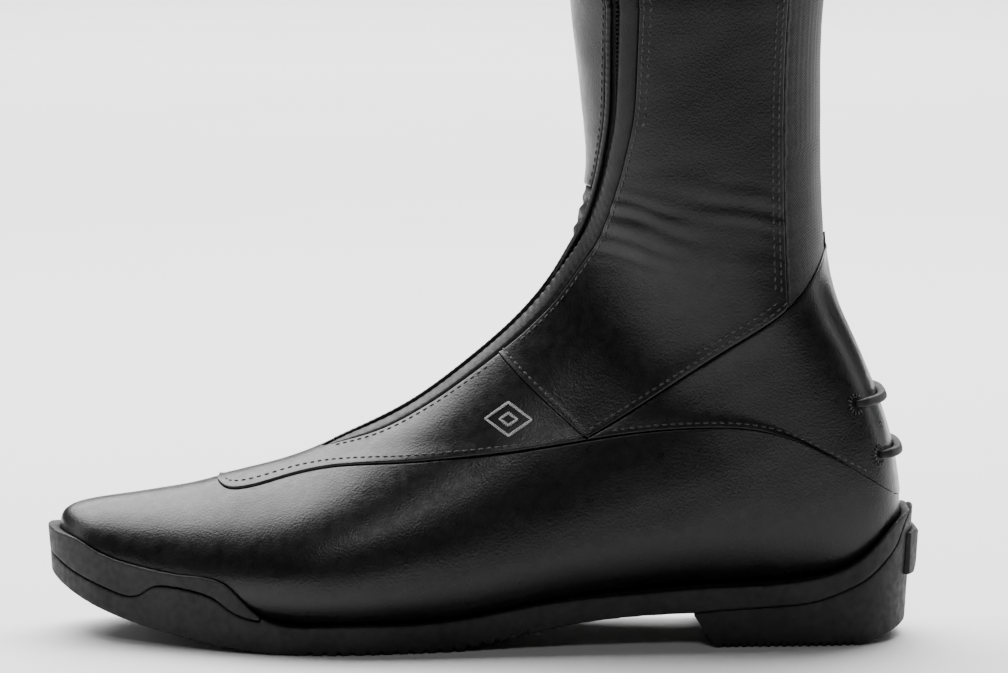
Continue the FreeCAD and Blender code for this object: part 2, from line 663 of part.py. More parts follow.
def shin_seam(s):
    """The medial seam of the shin panel and, lower down, of the gusset."""
    section = OUTER.section(s)
    seam_line = section.around_at(section.near + SHIN_SEAM_SETBACK, 1)
    share = min(1.0, max(0.0, (s - GUSSET_FROM) / 10.0))
    share = share * share * (3 - 2 * share)
    edge = inner_zip_edge(s)
    return edge + (seam_line - edge) * share


def at_back(side):
    return lambda s: side * (1 - KERF / 2 / OUTER.section(s).girth(side))


def across_boot(items):
    return prism(items, -SIDE, SIDE)


def beside_gore(turn, x):
    """The space ahead of the gore (turn -1) or behind it (turn 1), out to x."""
    line = [(gore_x + turn * KERF / 2, z) for gore_x, z in GORE_LINE]
    return across_boot([seam(line), (x, FORM_TOP_Z), (x, LOW), (line[0][0], LOW)])


def past_shin_seam(s):
    return shin_seam(s) + KERF / OUTER.section(s).girth(1)


def make_vamp(shell):
    vamp = shell.common(below(VAMP_SEAM, -KERF / 2)).cut(sole_opening())
    keep("vamp", vamp.cut(inner_vamp_space(KERF)))
    keep("vamp_medial", vamp.common(inner_vamp_space(0.0)))


def make_quarters(over_vamp):
    notch_foot, notch_top = (QUARTER_NOTCH[-1][0], LOW), (AHEAD, QUARTER_NOTCH[0][1])
    before_notch = across_boot([seam(QUARTER_NOTCH, -KERF / 2), notch_foot, (AHEAD, LOW), notch_top])
    for name, start, end in (
        ("quarter_lateral", outer_zip_edge, lambda s: -1.0),
        ("quarter_medial", inner_zip_edge, lambda s: 1.0),
    ):
        piece = patch(0.0, LEATHER, *QUARTER_STATIONS, start, end, rows=30)
        keep(name, piece.common(over_vamp).common(before_notch))


def make_shaft(over_heel, top):
    notch_foot, notch_top = (QUARTER_NOTCH[-1][0], LOW), (QUARTER_NOTCH[0][0], HIGH)
    corners = [notch_foot, (BEHIND, LOW), (BEHIND, HIGH), notch_top]
    behind_notch = across_boot([seam(QUARTER_NOTCH, KERF / 2)] + corners)
    before_gore = beside_gore(-1, AHEAD)
    for name, start, end in (
        ("shaft_lateral", outer_zip_edge, at_back(-1)),
        ("shaft_medial", past_shin_seam, at_back(1)),
    ):
        piece = patch(0.0, LEATHER, SHAFT_FOOT, station_at(UPPER_TOP_Z), start, end, rows=90)
        piece = piece.common(behind_notch).common(over_heel).common(before_gore)
        keep(name, piece.common(top))


def make_shin(top):
    """The shin panel, relieved where the zip's tape lies under its edge, and the soft gusset below it."""
    edges = (inner_zip_edge, shin_seam)
    panel = patch(0.0, LEATHER, GUSSET_TO + KERF, station_at(UPPER_TOP_Z), *edges, rows=70)
    tape_room = level(TAPE_EDGE, TAPE_REACH + KERF, TAPE[0] + TAPE_CLEARANCE, TAPE[1])
    keep("shin_panel", panel.common(top).cut(ribbon(tape_room, ZIP_START, ZIP_END)))
    keep("instep_gusset", patch(0.0, LEATHER, GUSSET_FROM + 3.0, GUSSET_TO, *edges, rows=24))


def make_upper():
    make_vamp(shell_between(0.0, LEATHER))
    over_vamp, over_heel, top = above(VAMP_SEAM, KERF / 2), above(HEEL_SEAM, KERF / 2), under_top()
    make_quarters(over_vamp)
    make_shaft(over_heel, top)
    make_shin(top)
    first, last = BACK_PIECE_SPAN
    back = patch(0.0, LEATHER, HEEL_QUARTER_FOOT, station_at(UPPER_TOP_Z),
                 lambda s: first, lambda s: last, rows=90, columns=56)
    keep("heel_quarter", back.common(over_vamp).common(below(HEEL_SEAM, -KERF / 2)))
    keep("rear_gore", back.common(over_heel).common(beside_gore(1, BEHIND)).common(top))


def inner_vamp_space(grow):
    """The space of the inner side's panel, from its front seam to the seam down the back of the heel."""
    start = VAMP_MEDIAL_X - grow
    return Part.makeBox(BEHIND - start, SIDE + grow, 120.0, Vec(start, -grow, -10.0))


def sole_opening():
    """The middle of the foot's underside, which the lasting margin leaves open."""
    under = below(UNDERFOOT, 4.0)
    return under.common(plan_block(-MARGIN, 0.0))


def plan_wire(grow, z):
    """The sole's outline seen from above, grown sideways, as a closed wire at height z."""
    outer = [Vec(x, y - grow, z) for x, y, _ in SOLE_PLAN]
    inner = [Vec(x, y + grow, z) for x, _, y in SOLE_PLAN]
    toe = Vec(SOLE_TOE[0] - grow, SOLE_TOE[1], z)
    heel = Vec(SOLE_HEEL[0] + grow, SOLE_HEEL[1], z)
    if grow < 0:
        outer, inner = outer[4:-2], inner[4:-2]
    curve = Part.BSplineCurve()
    curve.interpolate([toe] + outer + [heel] + inner[::-1], PeriodicFlag=True)
    return Part.Wire([curve.toShape()])


def plan_block(grow, draft):
    return Part.makeLoft([plan_wire(grow - draft, -2.0), plan_wire(grow, SOLE_TOP_Z)], True, True)


def make_sole():
    block = plan_block(0.0, SOLE_DRAFT)
    foot = Form(-CUP_CLEARANCE).solid()
    ball = [(BALL_FLAT[0], 0.0), (BALL_FLAT[1], 0.0)]
    ground = [seam(BOTTOM_LINE)] + ball + [seam(WAIST_LINE)]
    under_rim = prism([seam(RIM_LINE), (155.0, LOW), (-160.0, LOW)], -SIDE, SIDE)
    over_ground = prism(ground + [seam(RAND_LINE), (150.0, 90.0), (-160.0, 90.0)], -SIDE, SIDE)
    unit = block.common(under_rim).common(over_ground).cut(foot)
    over_bumper = prism([seam(BUMPER_LINE, KERF / 2), (-66.0, 60.0), (-160.0, 60.0)], -SIDE, SIDE)
    low_corners = [(160.0, 11.0), (160.0, LOW), (-160.0, LOW)]
    under_bumper = prism([seam(BUMPER_LINE, -KERF / 2)] + low_corners, -SIDE, SIDE)
    keep("toe_bumper", unit.common(over_bumper).cut(space_behind(BUMPER_END_X - KERF)))
    sole_height = spline([(BALL_FLAT[0], 0.0)] + WAIST_LINE[:-2])
    outsole = unit.common(under_bumper.fuse(space_behind(BUMPER_END_X)))
    keep("outsole", outsole.cut(edge_grooves(TREAD, TREAD_PITCH, TREAD_GROOVE, TREAD_DEPTH, sole_height)))
    heel_side = prism([seam(RAND_LINE, -KERF / 2), (150.0, HEEL_REAR_RISE * 2), (HEEL_REAR_FLAT_X, 0.0),
                       (HEEL_BREAST_FOOT_X, 0.0)], -SIDE, SIDE)
    heel = block.common(heel_side).cut(foot)
    teeth = edge_grooves(HEEL_TEETH, HEEL_PITCH, HEEL_GROOVE, HEEL_GROOVE_DEPTH, lambda x: 0.0)
    keep("heel_block", heel.cut(teeth))
    ledge = plan_block(LEDGE_GROW, SOLE_DRAFT).cut(plan_block(LEDGE_SINK, SOLE_DRAFT))
    ledge = ledge.common(prism(LEDGE, -LEDGE_HALF_WIDTH, LEDGE_HALF_WIDTH))
    keep("heel_spur_ledge", ledge)


def space_behind(x):
    return Part.makeBox(2 * BEHIND, 2 * SIDE, 2 * SIDE, Vec(x, -SIDE, -20.0))


def edge_grooves(span, pitch, width, depth, ground):
    """Grooves across the sole's two edges, which leave its middle flat; ground(x) is the tread's height."""
    grooves = []
    x = span[0]
    while x < span[1]:
        rise = ground(x + width / 2)
        for y in (-GROOVE_OUTER_Y, GROOVE_INNER_Y):
            corner = Vec(x, y, rise - GROOVE_SINK)
            grooves.append(Part.makeBox(width, GROOVE_OUTER_Y - GROOVE_INNER_Y, depth + GROOVE_SINK, corner))
        x += pitch
    return Part.makeCompound(grooves)


def make_insole():
    """The board, the shank under it and the footbed on it."""
    for name, inset, (low, high) in (("insole_board", BOARD[0], BOARD), ("footbed", FOOTBED_INSET, FOOTBED)):
        slab = Form(inset).solid().common(above(UNDERFOOT, low))
        keep(name, slab.common(below(UNDERFOOT, high)))
    strip = above(UNDERFOOT, SHANK_RISE).common(below(UNDERFOOT, SHANK_RISE + SHANK_THICKNESS))
    span = Part.makeBox(SHANK[1] - SHANK[0], SHANK_WIDTH, 60, Vec(SHANK[0], -SHANK_WIDTH / 2, 0))
    keep("steel_shank", strip.common(span))


def make_stiffeners():
    shell = shell_between(*STIFFENER)
    off_bottom = above(UNDERFOOT, STIFFENER_FOOT)
    toe = Part.makeBox(TOE_PUFF_SPAN[1] - TOE_PUFF_SPAN[0], 2 * SIDE, SIDE, Vec(TOE_PUFF_SPAN[0], -SIDE, 0))
    keep("toe_puff", shell.common(off_bottom).common(toe))
    keep("heel_counter", shell.common(off_bottom).common(across_boot(COUNTER)))


def make_lining():
    """Soft lining, open behind the zip and under the foot."""
    off_bottom = above(UNDERFOOT, LINING_FOOT)
    slot_outer, slot_inner = beside_zip(-LINING_SLOT), beside_zip(LINING_SLOT)
    shaft = patch(*LINING, LINING_SPLIT, station_at(UPPER_TOP_Z), slot_inner, lambda s: 2 + slot_outer(s),
                  rows=80, columns=60)
    keep("lining_shaft", shaft.common(under_top()).common(off_bottom))
    sides = [patch(*LINING, BAND_TIP, LINING_SPLIT - KERF, start, end, rows=20)
             for start, end in ((slot_inner, lambda s: 1.0), (slot_outer, lambda s: -1.0))]
    front = patch(*LINING, LINING_TOE, BAND_TIP - KERF,
                  lambda s: -LINING_TOE_SPAN, lambda s: LINING_TOE_SPAN, rows=24, columns=50)
    keep("lining_foot", Part.makeCompound([s.common(off_bottom) for s in sides + [front]]), 3)


def make_binding():
    """The folded edge round the mouth, from the zip's inner side round the back to its outer side."""
    start, end = beside_zip(GAP / 2 + PIPING_WIDTH + 1.0), beside_zip(-GAP / 2 - 1.0)
    low, high = (station_at(z) for z in BINDING_Z)
    rim = patch(*BINDING, low, high, start, lambda s: 2 + end(s), rows=20, columns=60)
    keep("top_binding", rim.common(under_top(BINDING_RISE[1])).cut(under_top(BINDING_RISE[0])))


def make_zip():
    low, high = ZIP_START, ZIP_END
    over_top = station_at(OVER_TOP_Z)
    top = under_top()
    band = patch(0.0, LEATHER, BAND_TIP + 1.0, over_top, beside_band, beside_zip(-GAP / 2), rows=110, columns=8)
    keep("zip_band", band.common(top))
    for side, name in ((-1, "lateral"), (1, "medial")):
        tape = level(side * TAPE_EDGE, side * TAPE_REACH, *TAPE)
        keep("zip_tape_" + name, ribbon(tape, low, high))
        coil = level(side * COIL_EDGE, side * COIL_REACH, *COIL, 1)
        keep("zip_coil_" + name, ribbon(coil, low + COIL_ENDS[0], high - COIL_ENDS[1]))
    piping = ribbon(level(GAP / 2, GAP / 2 + PIPING_WIDTH, PIPING_RISE, -LEATHER, 1), PIPING_START, over_top)
    keep("zip_piping", piping.common(top))
    keep("zip_guard", ribbon(level(-GUARD_REACH, GUARD_REACH, *GUARD), GUARD_START, high))
    stop_start = high - COIL_ENDS[1] + KERF
    stops = []
    for side in (-1, 1):
        columns = level(side * COIL_EDGE, side * COIL_REACH, *COIL, 1)
        stops.append(ribbon(columns, stop_start, stop_start + STOP_LENGTHS[1], 4))
    stops.append(ribbon(level(-COIL_REACH, COIL_REACH, *COIL, 2), low, low + STOP_LENGTHS[0], 4))
    keep("zip_stops", Part.makeCompound(stops), 3)


def beside_band(s):
    return beside_zip(-(GAP / 2 + band_width(s)))(s)


def run_place(z):
    """The placement of the zip's local axes (across, along, out) at height z on the straight run."""
    x, y = straight_run(z)
    lower, upper = straight_run(ZIP_STRAIGHT_Z), straight_run(ZIP_TOP_Z)
    along = Vec(upper[0] - lower[0], upper[1] - lower[1], ZIP_TOP_Z - ZIP_STRAIGHT_Z).normalize()
    out = (RUN.out - along * RUN.out.dot(along)).normalize()
    across = along.cross(out).normalize()
    matrix = FreeCAD.Matrix(across.x, along.x, out.x, x, across.y, along.y, out.y, y,
                            across.z, along.z, out.z, z, 0, 0, 0, 1)
    return FreeCAD.Placement(matrix)


def block(u, a, n):
    return Part.makeBox(u[1] - u[0], a[1] - a[0], n[1] - n[0], Vec(u[0], a[0], n[0]))


def pin_across(radius, half_length):
    """A cylinder across the zip at the height of the pull's pin."""
    return Part.makeCylinder(radius, 2 * half_length, Vec(-half_length, 0, PULL_PIN), Vec(1, 0, 0))


def about_pin(half_height):
    return (PULL_PIN - half_height, PULL_PIN + half_height)


def make_slider():
    """A back plate with flanges under the coils, and a web up the gap that carries the pull's bridge."""
    length, web_length = (-SLIDER_HALF_LENGTH, SLIDER_HALF_LENGTH), (-WEB_HALF_LENGTH, WEB_HALF_LENGTH)
    body = block((-SLIDER_HALF_WIDTH, SLIDER_HALF_WIDTH), length, SLIDER_BACK)
    for side in (-1, 1):
        flange = sorted((side * (SLIDER_HALF_WIDTH - SLIDER_FLANGE), side * SLIDER_HALF_WIDTH))
        body = body.fuse(block(flange, length, (SLIDER_BACK[1], SLIDER_FLANGE_TOP)))
    body = body.fuse(block((-WEB_HALF_WIDTH, WEB_HALF_WIDTH), web_length, (SLIDER_BACK[1], WEB_TOP)))
    body = body.fuse(block((-BRIDGE_HALF_WIDTH, BRIDGE_HALF_WIDTH), web_length, BRIDGE))
    body = body.cut(pin_across(PIN_HOLE_RADIUS, 2 * BRIDGE_HALF_WIDTH))
    body.Placement = run_place(SLIDER_Z)
    keep("zip_slider", body)


def make_pull():
    """A pin through the bridge, a cheek on each side of it, and the plate that hangs from them."""
    pull = pin_across(PIN_RADIUS, CHEEK[1])
    for side in (-1, 1):
        across = sorted((side * CHEEK[0], side * CHEEK[1]))
        pull = pull.fuse(block(across, CHEEK_ALONG, about_pin(CHEEK_HALF_HEIGHT)))
    plate = block((-PULL_HALF_WIDTH, PULL_HALF_WIDTH), PULL_ALONG, about_pin(PULL_HALF_HEIGHT))
    pull = pull.fuse(plate)
    pull.Placement = run_place(SLIDER_Z)
    keep("zip_pull", pull)


def tab_hinge():
    """The middle of the tab's fold, and the fold's direction upwards."""
    along = run_place(TAB_Z).Rotation.multVec(Vec(0, 1, 0))
    return zip_point(station_at(TAB_Z), TAB_HINGE_U, TAB[1]), along


def make_tab():
    half = TAB_HALF_HEIGHT
    station = station_at(TAB_Z)
    hinge, along = tab_hinge()
    fold = Part.makeCylinder(TAB_FOLD_RADIUS, 2 * half, hinge - along * half, along)
    room = Part.makeCylinder(TAB_FOLD_RADIUS + KERF, 4 * half, hinge - along * 2 * half, along)
    tab = ribbon(level(TAB_HINGE_U, TAB_END_U, TAB[1], TAB[0], 8), station - half, station + half, 6)
    base_columns = level(TAB_HINGE_U - TAB_BASE_REACH, TAB_HINGE_U - KERF, TAB[1], TAB[0], 8)
    keep("snap_tab", tab.fuse(fold))
    keep("snap_tab_base", ribbon(base_columns, station - half, station + half, 6).cut(room))
    centre = zip_point(station, SNAP_U, 0.0)
    out = (zip_point(station, SNAP_U, 1.0) - centre).normalize()
    keep("snap_stud", Part.makeCylinder(STUD_RADIUS, STUD[1], centre + out * STUD[0], out))
    keep("snap_cap", Part.makeCylinder(CAP_RADIUS, CAP_HEIGHT, centre + out * (TAB[1] + CAP_STANDOFF), out))


def make_spur_rests():
    shell = Form(-STRIP_STANDOFF - STRIP_THICKNESS).solid().cut(Form(-STRIP_STANDOFF).solid())
    for name, ((x0, z0), (x1, z1)) in SPUR_STRIPS.items():
        half = STRIP_HEIGHT / 2
        corners = [(x0, z0 - half), (x1, z1 - half), (x1, z1 + half), (x0, z0 + half)]
        keep(name, shell.common(across_boot(corners)))


def say(label, *vectors):
    print(label, *[[round(c, 4) for c in vector] for vector in vectors])


def write(parts):
    """Centre the boot over the origin and write each piece; say where its joints are."""
    whole = Part.makeCompound(list(parts.values()))
    box = whole.optimalBoundingBox(True)
    shift = Vec(-(box.XMin + box.XMax) / 2, -(box.YMin + box.YMax) / 2, 0)
    place = run_place(SLIDER_Z)
    across, along = (place.Rotation.multVec(Vec(*axis)) for axis in ((1, 0, 0), (0, 1, 0)))
    say("slider travel along", along * -1)
    say("pull hinge at, about", place.multVec(Vec(0, 0, PULL_PIN)) + shift, across * -1)
    hinge, fold = tab_hinge()
    say("tab hinge at, about", hinge + shift, fold)
    say("moved by", shift)
    os.makedirs("parts", exist_ok=True)
    for name, shape in parts.items():
        shape = shape.copy()
        shape.translate(shift)
        shape.exportStep("parts/" + name + ".step")


def main():
    make_upper()
    make_sole()
    make_insole()
    make_stiffeners()
    make_lining()
    make_binding()
    make_zip()
    make_slider()
    make_pull()
    make_tab()
    make_spur_rests()
    write(PARTS)


main()
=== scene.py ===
"""Looks for the left tall riding boot: leather panels, zip, stitching, rubber sole, floor, light and camera.

The upper follows the same form as the CAD part: sections that stand upright along the foot, fan round the
ankle and lie flat up the shaft. A station s runs from the toe (negative, mm ahead of the pivot) through the
fan (0 to 90 degrees) up the shaft (90 + mm above the pivot). Around a section v is 0 at the front or top,
-1 at the back or bottom of the outer (lateral) side and 1 on the inner side. Lengths in the form are in
millimetres; its place comes from the frame.
"""
import math

import bmesh
import bpy
import numpy as np
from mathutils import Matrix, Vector
from mathutils.bvhtree import BVHTree


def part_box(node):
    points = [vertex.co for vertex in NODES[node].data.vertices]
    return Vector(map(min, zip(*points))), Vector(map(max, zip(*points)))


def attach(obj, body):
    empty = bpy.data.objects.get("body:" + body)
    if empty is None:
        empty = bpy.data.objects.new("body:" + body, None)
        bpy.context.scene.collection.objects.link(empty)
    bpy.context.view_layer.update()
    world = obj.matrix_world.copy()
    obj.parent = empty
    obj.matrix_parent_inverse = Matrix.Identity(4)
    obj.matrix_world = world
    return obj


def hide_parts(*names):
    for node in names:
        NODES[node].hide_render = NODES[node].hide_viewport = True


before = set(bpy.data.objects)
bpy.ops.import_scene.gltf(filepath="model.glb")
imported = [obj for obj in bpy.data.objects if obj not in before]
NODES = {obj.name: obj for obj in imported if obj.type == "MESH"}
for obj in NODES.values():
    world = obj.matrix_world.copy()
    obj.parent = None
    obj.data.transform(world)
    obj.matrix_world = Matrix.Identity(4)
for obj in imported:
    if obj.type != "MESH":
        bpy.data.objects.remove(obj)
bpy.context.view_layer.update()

MM = 0.001
SIDES = ((-1, "lateral"), (1, "medial"))

# ---- the form: the CAD part's driving dimensions, in mm ------------------------------------------
PIVOT_X, PIVOT_Z = -30.0, 165.0
TIP_X, TIP_Z = -144.8, 37.5
TIP_ROUNDING = 14.0
FRONT_LINE = [
    (TIP_X, TIP_Z), (-144.2, 39.9), (-142.0, 42.2), (-137.0, 44.2), (-127.0, 46.0), (-112.0, 48.4),
    (-98.0, 51.2), (-83.0, 55.6), (-68.0, 59.6), (-56.0, 64.0), (-45.0, 69.0), (-34.0, 74.2),
    (-23.5, 80.0), (-13.0, 87.3), (-2.0, 96.0), (9.0, 105.6), (19.5, 117.0), (27.5, 129.0),
    (32.5, 141.0), (34.8, 153.0), (34.6, 170.0), (32.8, 190.0), (29.8, 217.0), (25.0, 260.0),
    (19.5, 310.0), (15.0, 360.0), (12.0, 410.0), (10.5, 460.0), (10.0, 515.0), (10.0, 560.0),
]
BACK_LINE = [
    (TIP_X, TIP_Z), (-144.2, 34.6), (-141.5, 29.5), (-135.0, 23.8), (-122.0, 16.6), (-105.0, 11.4),
    (-85.0, 8.0), (-62.0, 6.4), (-35.0, 6.2), (-12.0, 7.2), (10.0, 10.4), (35.0, 14.6), (65.0, 17.2),
    (100.0, 18.2), (122.0, 19.4), (133.0, 22.8), (139.6, 30.0), (142.3, 41.0), (141.6, 55.0),
    (139.0, 68.0), (133.8, 84.0), (127.5, 99.0), (121.0, 113.0), (117.2, 127.0), (115.6, 142.0),
    (114.9, 165.0), (114.6, 190.0), (115.6, 217.0), (121.0, 255.0), (129.0, 300.0), (134.5, 345.0),
    (135.5, 385.0), (132.0, 430.0), (128.5, 470.0), (127.0, 515.0), (127.0, 560.0),
]
# station, lateral half-width, medial half-width, sideways shift of the middle
WIDTHS = [
    (-116.0, 17.0, 17.0, 7.0), (-105.0, 21.5, 21.5, 6.2), (-92.0, 27.0, 27.5, 5.0),
    (-80.0, 32.0, 33.0, 3.8), (-66.0, 37.5, 38.5, 2.4), (-52.0, 42.5, 43.5, 1.2), (-38.0, 46.5, 47.0, 0.2),
    (-22.0, 48.5, 47.5, -0.4), (0.0, 46.5, 43.0, -0.8), (15.0, 41.0, 37.0, -0.6), (30.0, 36.5, 34.0, 0.0),
    (45.0, 33.5, 32.5, 0.0), (60.0, 32.5, 32.5, 0.0), (75.0, 34.0, 34.0, 0.0), (90.0, 35.5, 35.5, 0.0),
    (115.0, 36.5, 36.5, 0.0), (142.0, 38.0, 38.5, 0.0), (190.0, 42.0, 44.5, 0.0), (240.0, 45.5, 51.0, 0.0),
    (300.0, 49.0, 56.0, 0.0), (340.0, 50.0, 56.0, 0.0), (440.0, 50.0, 54.0, 0.0),
]
# station, place of the widest line, narrowing of the front, squareness of the back
SHAPES = [
    (-116.0, 0.60, 0.05, 2.4), (-95.0, 0.62, 0.10, 2.8), (-60.0, 0.66, 0.22, 3.2), (-20.0, 0.70, 0.30, 3.4),
    (0.0, 0.72, 0.30, 3.4), (20.0, 0.70, 0.26, 3.3), (45.0, 0.62, 0.20, 3.1), (62.0, 0.56, 0.14, 2.8),
    (78.0, 0.52, 0.08, 2.3), (92.0, 0.53, 0.04, 2.1), (142.0, 0.54, 0.03, 2.05), (440.0, 0.55, 0.02, 2.05),
]
ZIP_START_S, ZIP_STRAIGHT_Z, ZIP_TOP_Z = -23.0, 215.0, 474.0
ZIP_LINE_X, ZIP_LINE_TOP_Y = (44.0, 41.0), -43.5
ZIP_SETBACK = [
    (-30.0, 0.10), (0.0, 0.10), (45.0, 0.12), (56.0, 0.30), (62.0, 0.9), (68.0, 2.0), (75.0, 3.0),
    (82.0, 4.4), (90.0, 6.4), (102.0, 9.1), (115.0, 11.0), (130.0, 12.9), (140.0, 14.2),
]
GAP, BAND_WIDTH, BAND_TIP, PIPING_WIDTH = 2.6, 8.0, -25.0, 2.0
BAND_WIDENING, GAP_OPENING = 24.0, 4.0
# seams seen from the side, (x, z)
VAMP_SEAM = [
    (-90.5, 53.2), (-88.0, 52.0), (-82.0, 51.9), (-74.0, 53.8), (-62.0, 57.4), (-50.0, 60.2), (-28.0, 62.6),
    (-7.0, 64.8), (13.0, 67.2), (33.0, 70.4), (54.0, 73.4), (74.0, 74.8), (90.0, 74.4), (102.0, 71.6),
    (115.0, 65.6), (125.5, 59.8), (134.0, 54.4), (143.5, 47.6),
]
QUARTER_NOTCH = [(-2.0, 106.0), (7.8, 95.4), (20.0, 84.0), (35.5, 70.6), (42.0, 64.0)]
HEEL_SEAM = [
    (24.0, 66.0), (35.5, 71.4), (60.0, 86.5), (84.0, 102.5), (103.0, 115.5), (110.0, 123.0), (120.0, 139.0),
]
GORE_LINE = [
    (102.0, 114.9), (100.6, 150.0), (100.4, 190.0), (102.6, 230.0), (112.0, 290.0),
    (119.5, 350.0), (120.5, 400.0), (116.5, 450.0), (114.0, 515.0),
]
TOP_LATERAL = [
    (0.0, 466.0), (30.0, 474.0), (55.0, 486.0), (75.0, 489.0), (100.0, 477.0), (120.0, 462.0), (140.0, 456.0),
]
TOP_MEDIAL = [(0.0, 466.0), (40.0, 462.0), (80.0, 457.0), (110.0, 455.0), (140.0, 456.0)]
SHIN_SEAM_SETBACK, GUSSET_FROM, GUSSET_TO = 24.0, 57.0, 80.0
KERF = 0.3

# the frame is centred on the whole boot, so the shank, whose own place is known, says how far the form moves
SHANK_X = (-18.0, 92.0)
shank_low, shank_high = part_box("steel_shank")
shank_middle = (shank_low + shank_high) / 2 / MM
SHIFT = np.array([shank_middle.x - sum(SHANK_X) / 2, shank_middle.y, 0.0])


def unit(vectors):
    """The vectors, along the last axis, at length 1."""
    return vectors / np.linalg.norm(vectors, axis=-1, keepdims=True)


def running_length(points):
    """The length along a line of points up to each of them."""
    return np.concatenate([[0], np.cumsum(np.linalg.norm(np.diff(points, axis=0), axis=1))])


def eased(share):
    """A share from 0 to 1 that starts and stops softly."""
    share = np.clip(share, 0, 1)
    return share * share * (3 - 2 * share)


def station_at(z):
    """The station of a height on the shaft."""
    return 90 + z - PIVOT_Z


def smooth_curve(points, count=900):
    """A natural cubic spline through the points, by chord length."""
    p = np.array(points, float)
    k = running_length(p)
    h = np.diff(k)
    n = len(k)
    m = np.eye(n)
    rhs = np.zeros_like(p)
    for i in range(1, n - 1):
        m[i, i - 1:i + 2] = h[i - 1], 2 * (h[i - 1] + h[i]), h[i]
        rhs[i] = 6 * ((p[i + 1] - p[i]) / h[i] - (p[i] - p[i - 1]) / h[i - 1])
    bend = np.linalg.solve(m, rhs)
    t = np.linspace(0, k[-1], count)
    i = np.clip(np.searchsorted(k, t, side="right") - 1, 0, n - 2)
    a, b, w = (t - k[i])[:, None], (k[i + 1] - t)[:, None], h[i][:, None]
    return (bend[i] * b**3 + bend[i + 1] * a**3) / (6 * w) + \
        (p[i] / w - bend[i] * w / 6) * b + (p[i + 1] / w - bend[i + 1] * w / 6) * a


def hermite(table, column=1):
    """A smooth function through the table's (key, value) pairs, flat beyond its ends."""
    keys = np.array([row[0] for row in table], float)
    values = np.array([row[column] for row in table], float)
    lo, hi = np.maximum(np.arange(len(keys)) - 1, 0), np.minimum(np.arange(len(keys)) + 1, len(keys) - 1)
    slopes = (values[hi] - values[lo]) / (keys[hi] - keys[lo])

    def at(key):
        key = np.clip(key, keys[0], keys[-1])
        i = np.clip(np.searchsorted(keys, key, side="right") - 1, 0, len(keys) - 2)
        span = keys[i + 1] - keys[i]
        t = (key - keys[i]) / span
        a = (1 + 2 * t) * (1 - t) ** 2 * values[i] + t * (1 - t) ** 2 * span * slopes[i]
        return a + t * t * (3 - 2 * t) * values[i + 1] - t * t * (1 - t) * span * slopes[i + 1]

    return at


FRONT_POINTS, BACK_POINTS = smooth_curve(FRONT_LINE, 1400), smooth_curve(BACK_LINE, 1400)
WIDTH = {-1: hermite(WIDTHS, 1), 1: hermite(WIDTHS, 2)}
MIDDLE = hermite(WIDTHS, 3)
WIDEST, NARROWING, SQUARENESS = (hermite(SHAPES, column) for column in (1, 2, 3))


def section_line(s):
    if s < 0:
        return (PIVOT_X + s, PIVOT_Z), (0.0, -1.0)
    if s <= 90:
        a = math.radians(s)
        return (PIVOT_X, PIVOT_Z), (math.sin(a), -math.cos(a))
    return (PIVOT_X, PIVOT_Z + s - 90), (1.0, 0.0)


def station_of(x, z):
    if x < PIVOT_X:
        return x - PIVOT_X
    if z > PIVOT_Z:
        return station_at(z)
    return math.degrees(math.atan2(x - PIVOT_X, PIVOT_Z - z))


def crossings(points, origin, along):
    r = points - np.array(origin)
    side = r[:, 0] * along[1] - r[:, 1] * along[0]
    reach = r[:, 0] * along[0] + r[:, 1] * along[1]
    i = np.nonzero((side[:-1] <= 0) != (side[1:] <= 0))[0]
    t = side[i] / (side[i] - side[i + 1])
    found = reach[i] + t * (reach[i + 1] - reach[i])
    return found[found > 0]


def half_shape(s, near, far, width, samples=160):
    """Reach along the section's middle line and half-width, from front to back."""
    waist = near + WIDEST(s) * (far - near)
    angle = np.pi * np.arange(samples + 1) / samples
    c, w = np.cos(angle), np.sin(angle)
    power = 2 / SQUARENESS(s)
    front = waist - c * (waist - near), width * w * (1 - NARROWING(s) * c * c)
    back = waist + np.abs(c) ** power * (far - waist), width * np.abs(w) ** power
    return np.where(c >= 0, front[0], back[0]), np.where(c >= 0, front[1], back[1])


def straight_run(z):
    t = (z - ZIP_STRAIGHT_Z) / (ZIP_TOP_Z - ZIP_STRAIGHT_Z)
    low, high = ZIP_LINE_X
    return low + t * (high - low), RUN_START_Y + t * (ZIP_LINE_TOP_Y - RUN_START_Y)


def front_half_width(s, near, far, x, width):
    waist = near + WIDEST(s) * (far - near)
    c = (waist - (x - PIVOT_X)) / (waist - near)
    return width * math.sqrt(1 - c * c) * (1 - NARROWING(s) * c * c)


def section_limits(s):
    origin, along = section_line(s)
    return crossings(FRONT_POINTS, origin, along).min(), crossings(BACK_POINTS, origin, along).max()


RUN_START = station_at(ZIP_STRAIGHT_Z)
RUN_START_Y = -front_half_width(RUN_START, *section_limits(RUN_START), ZIP_LINE_X[0], WIDTH[-1](RUN_START))

COLUMNS = 160
TOP_S = station_at(505.0)


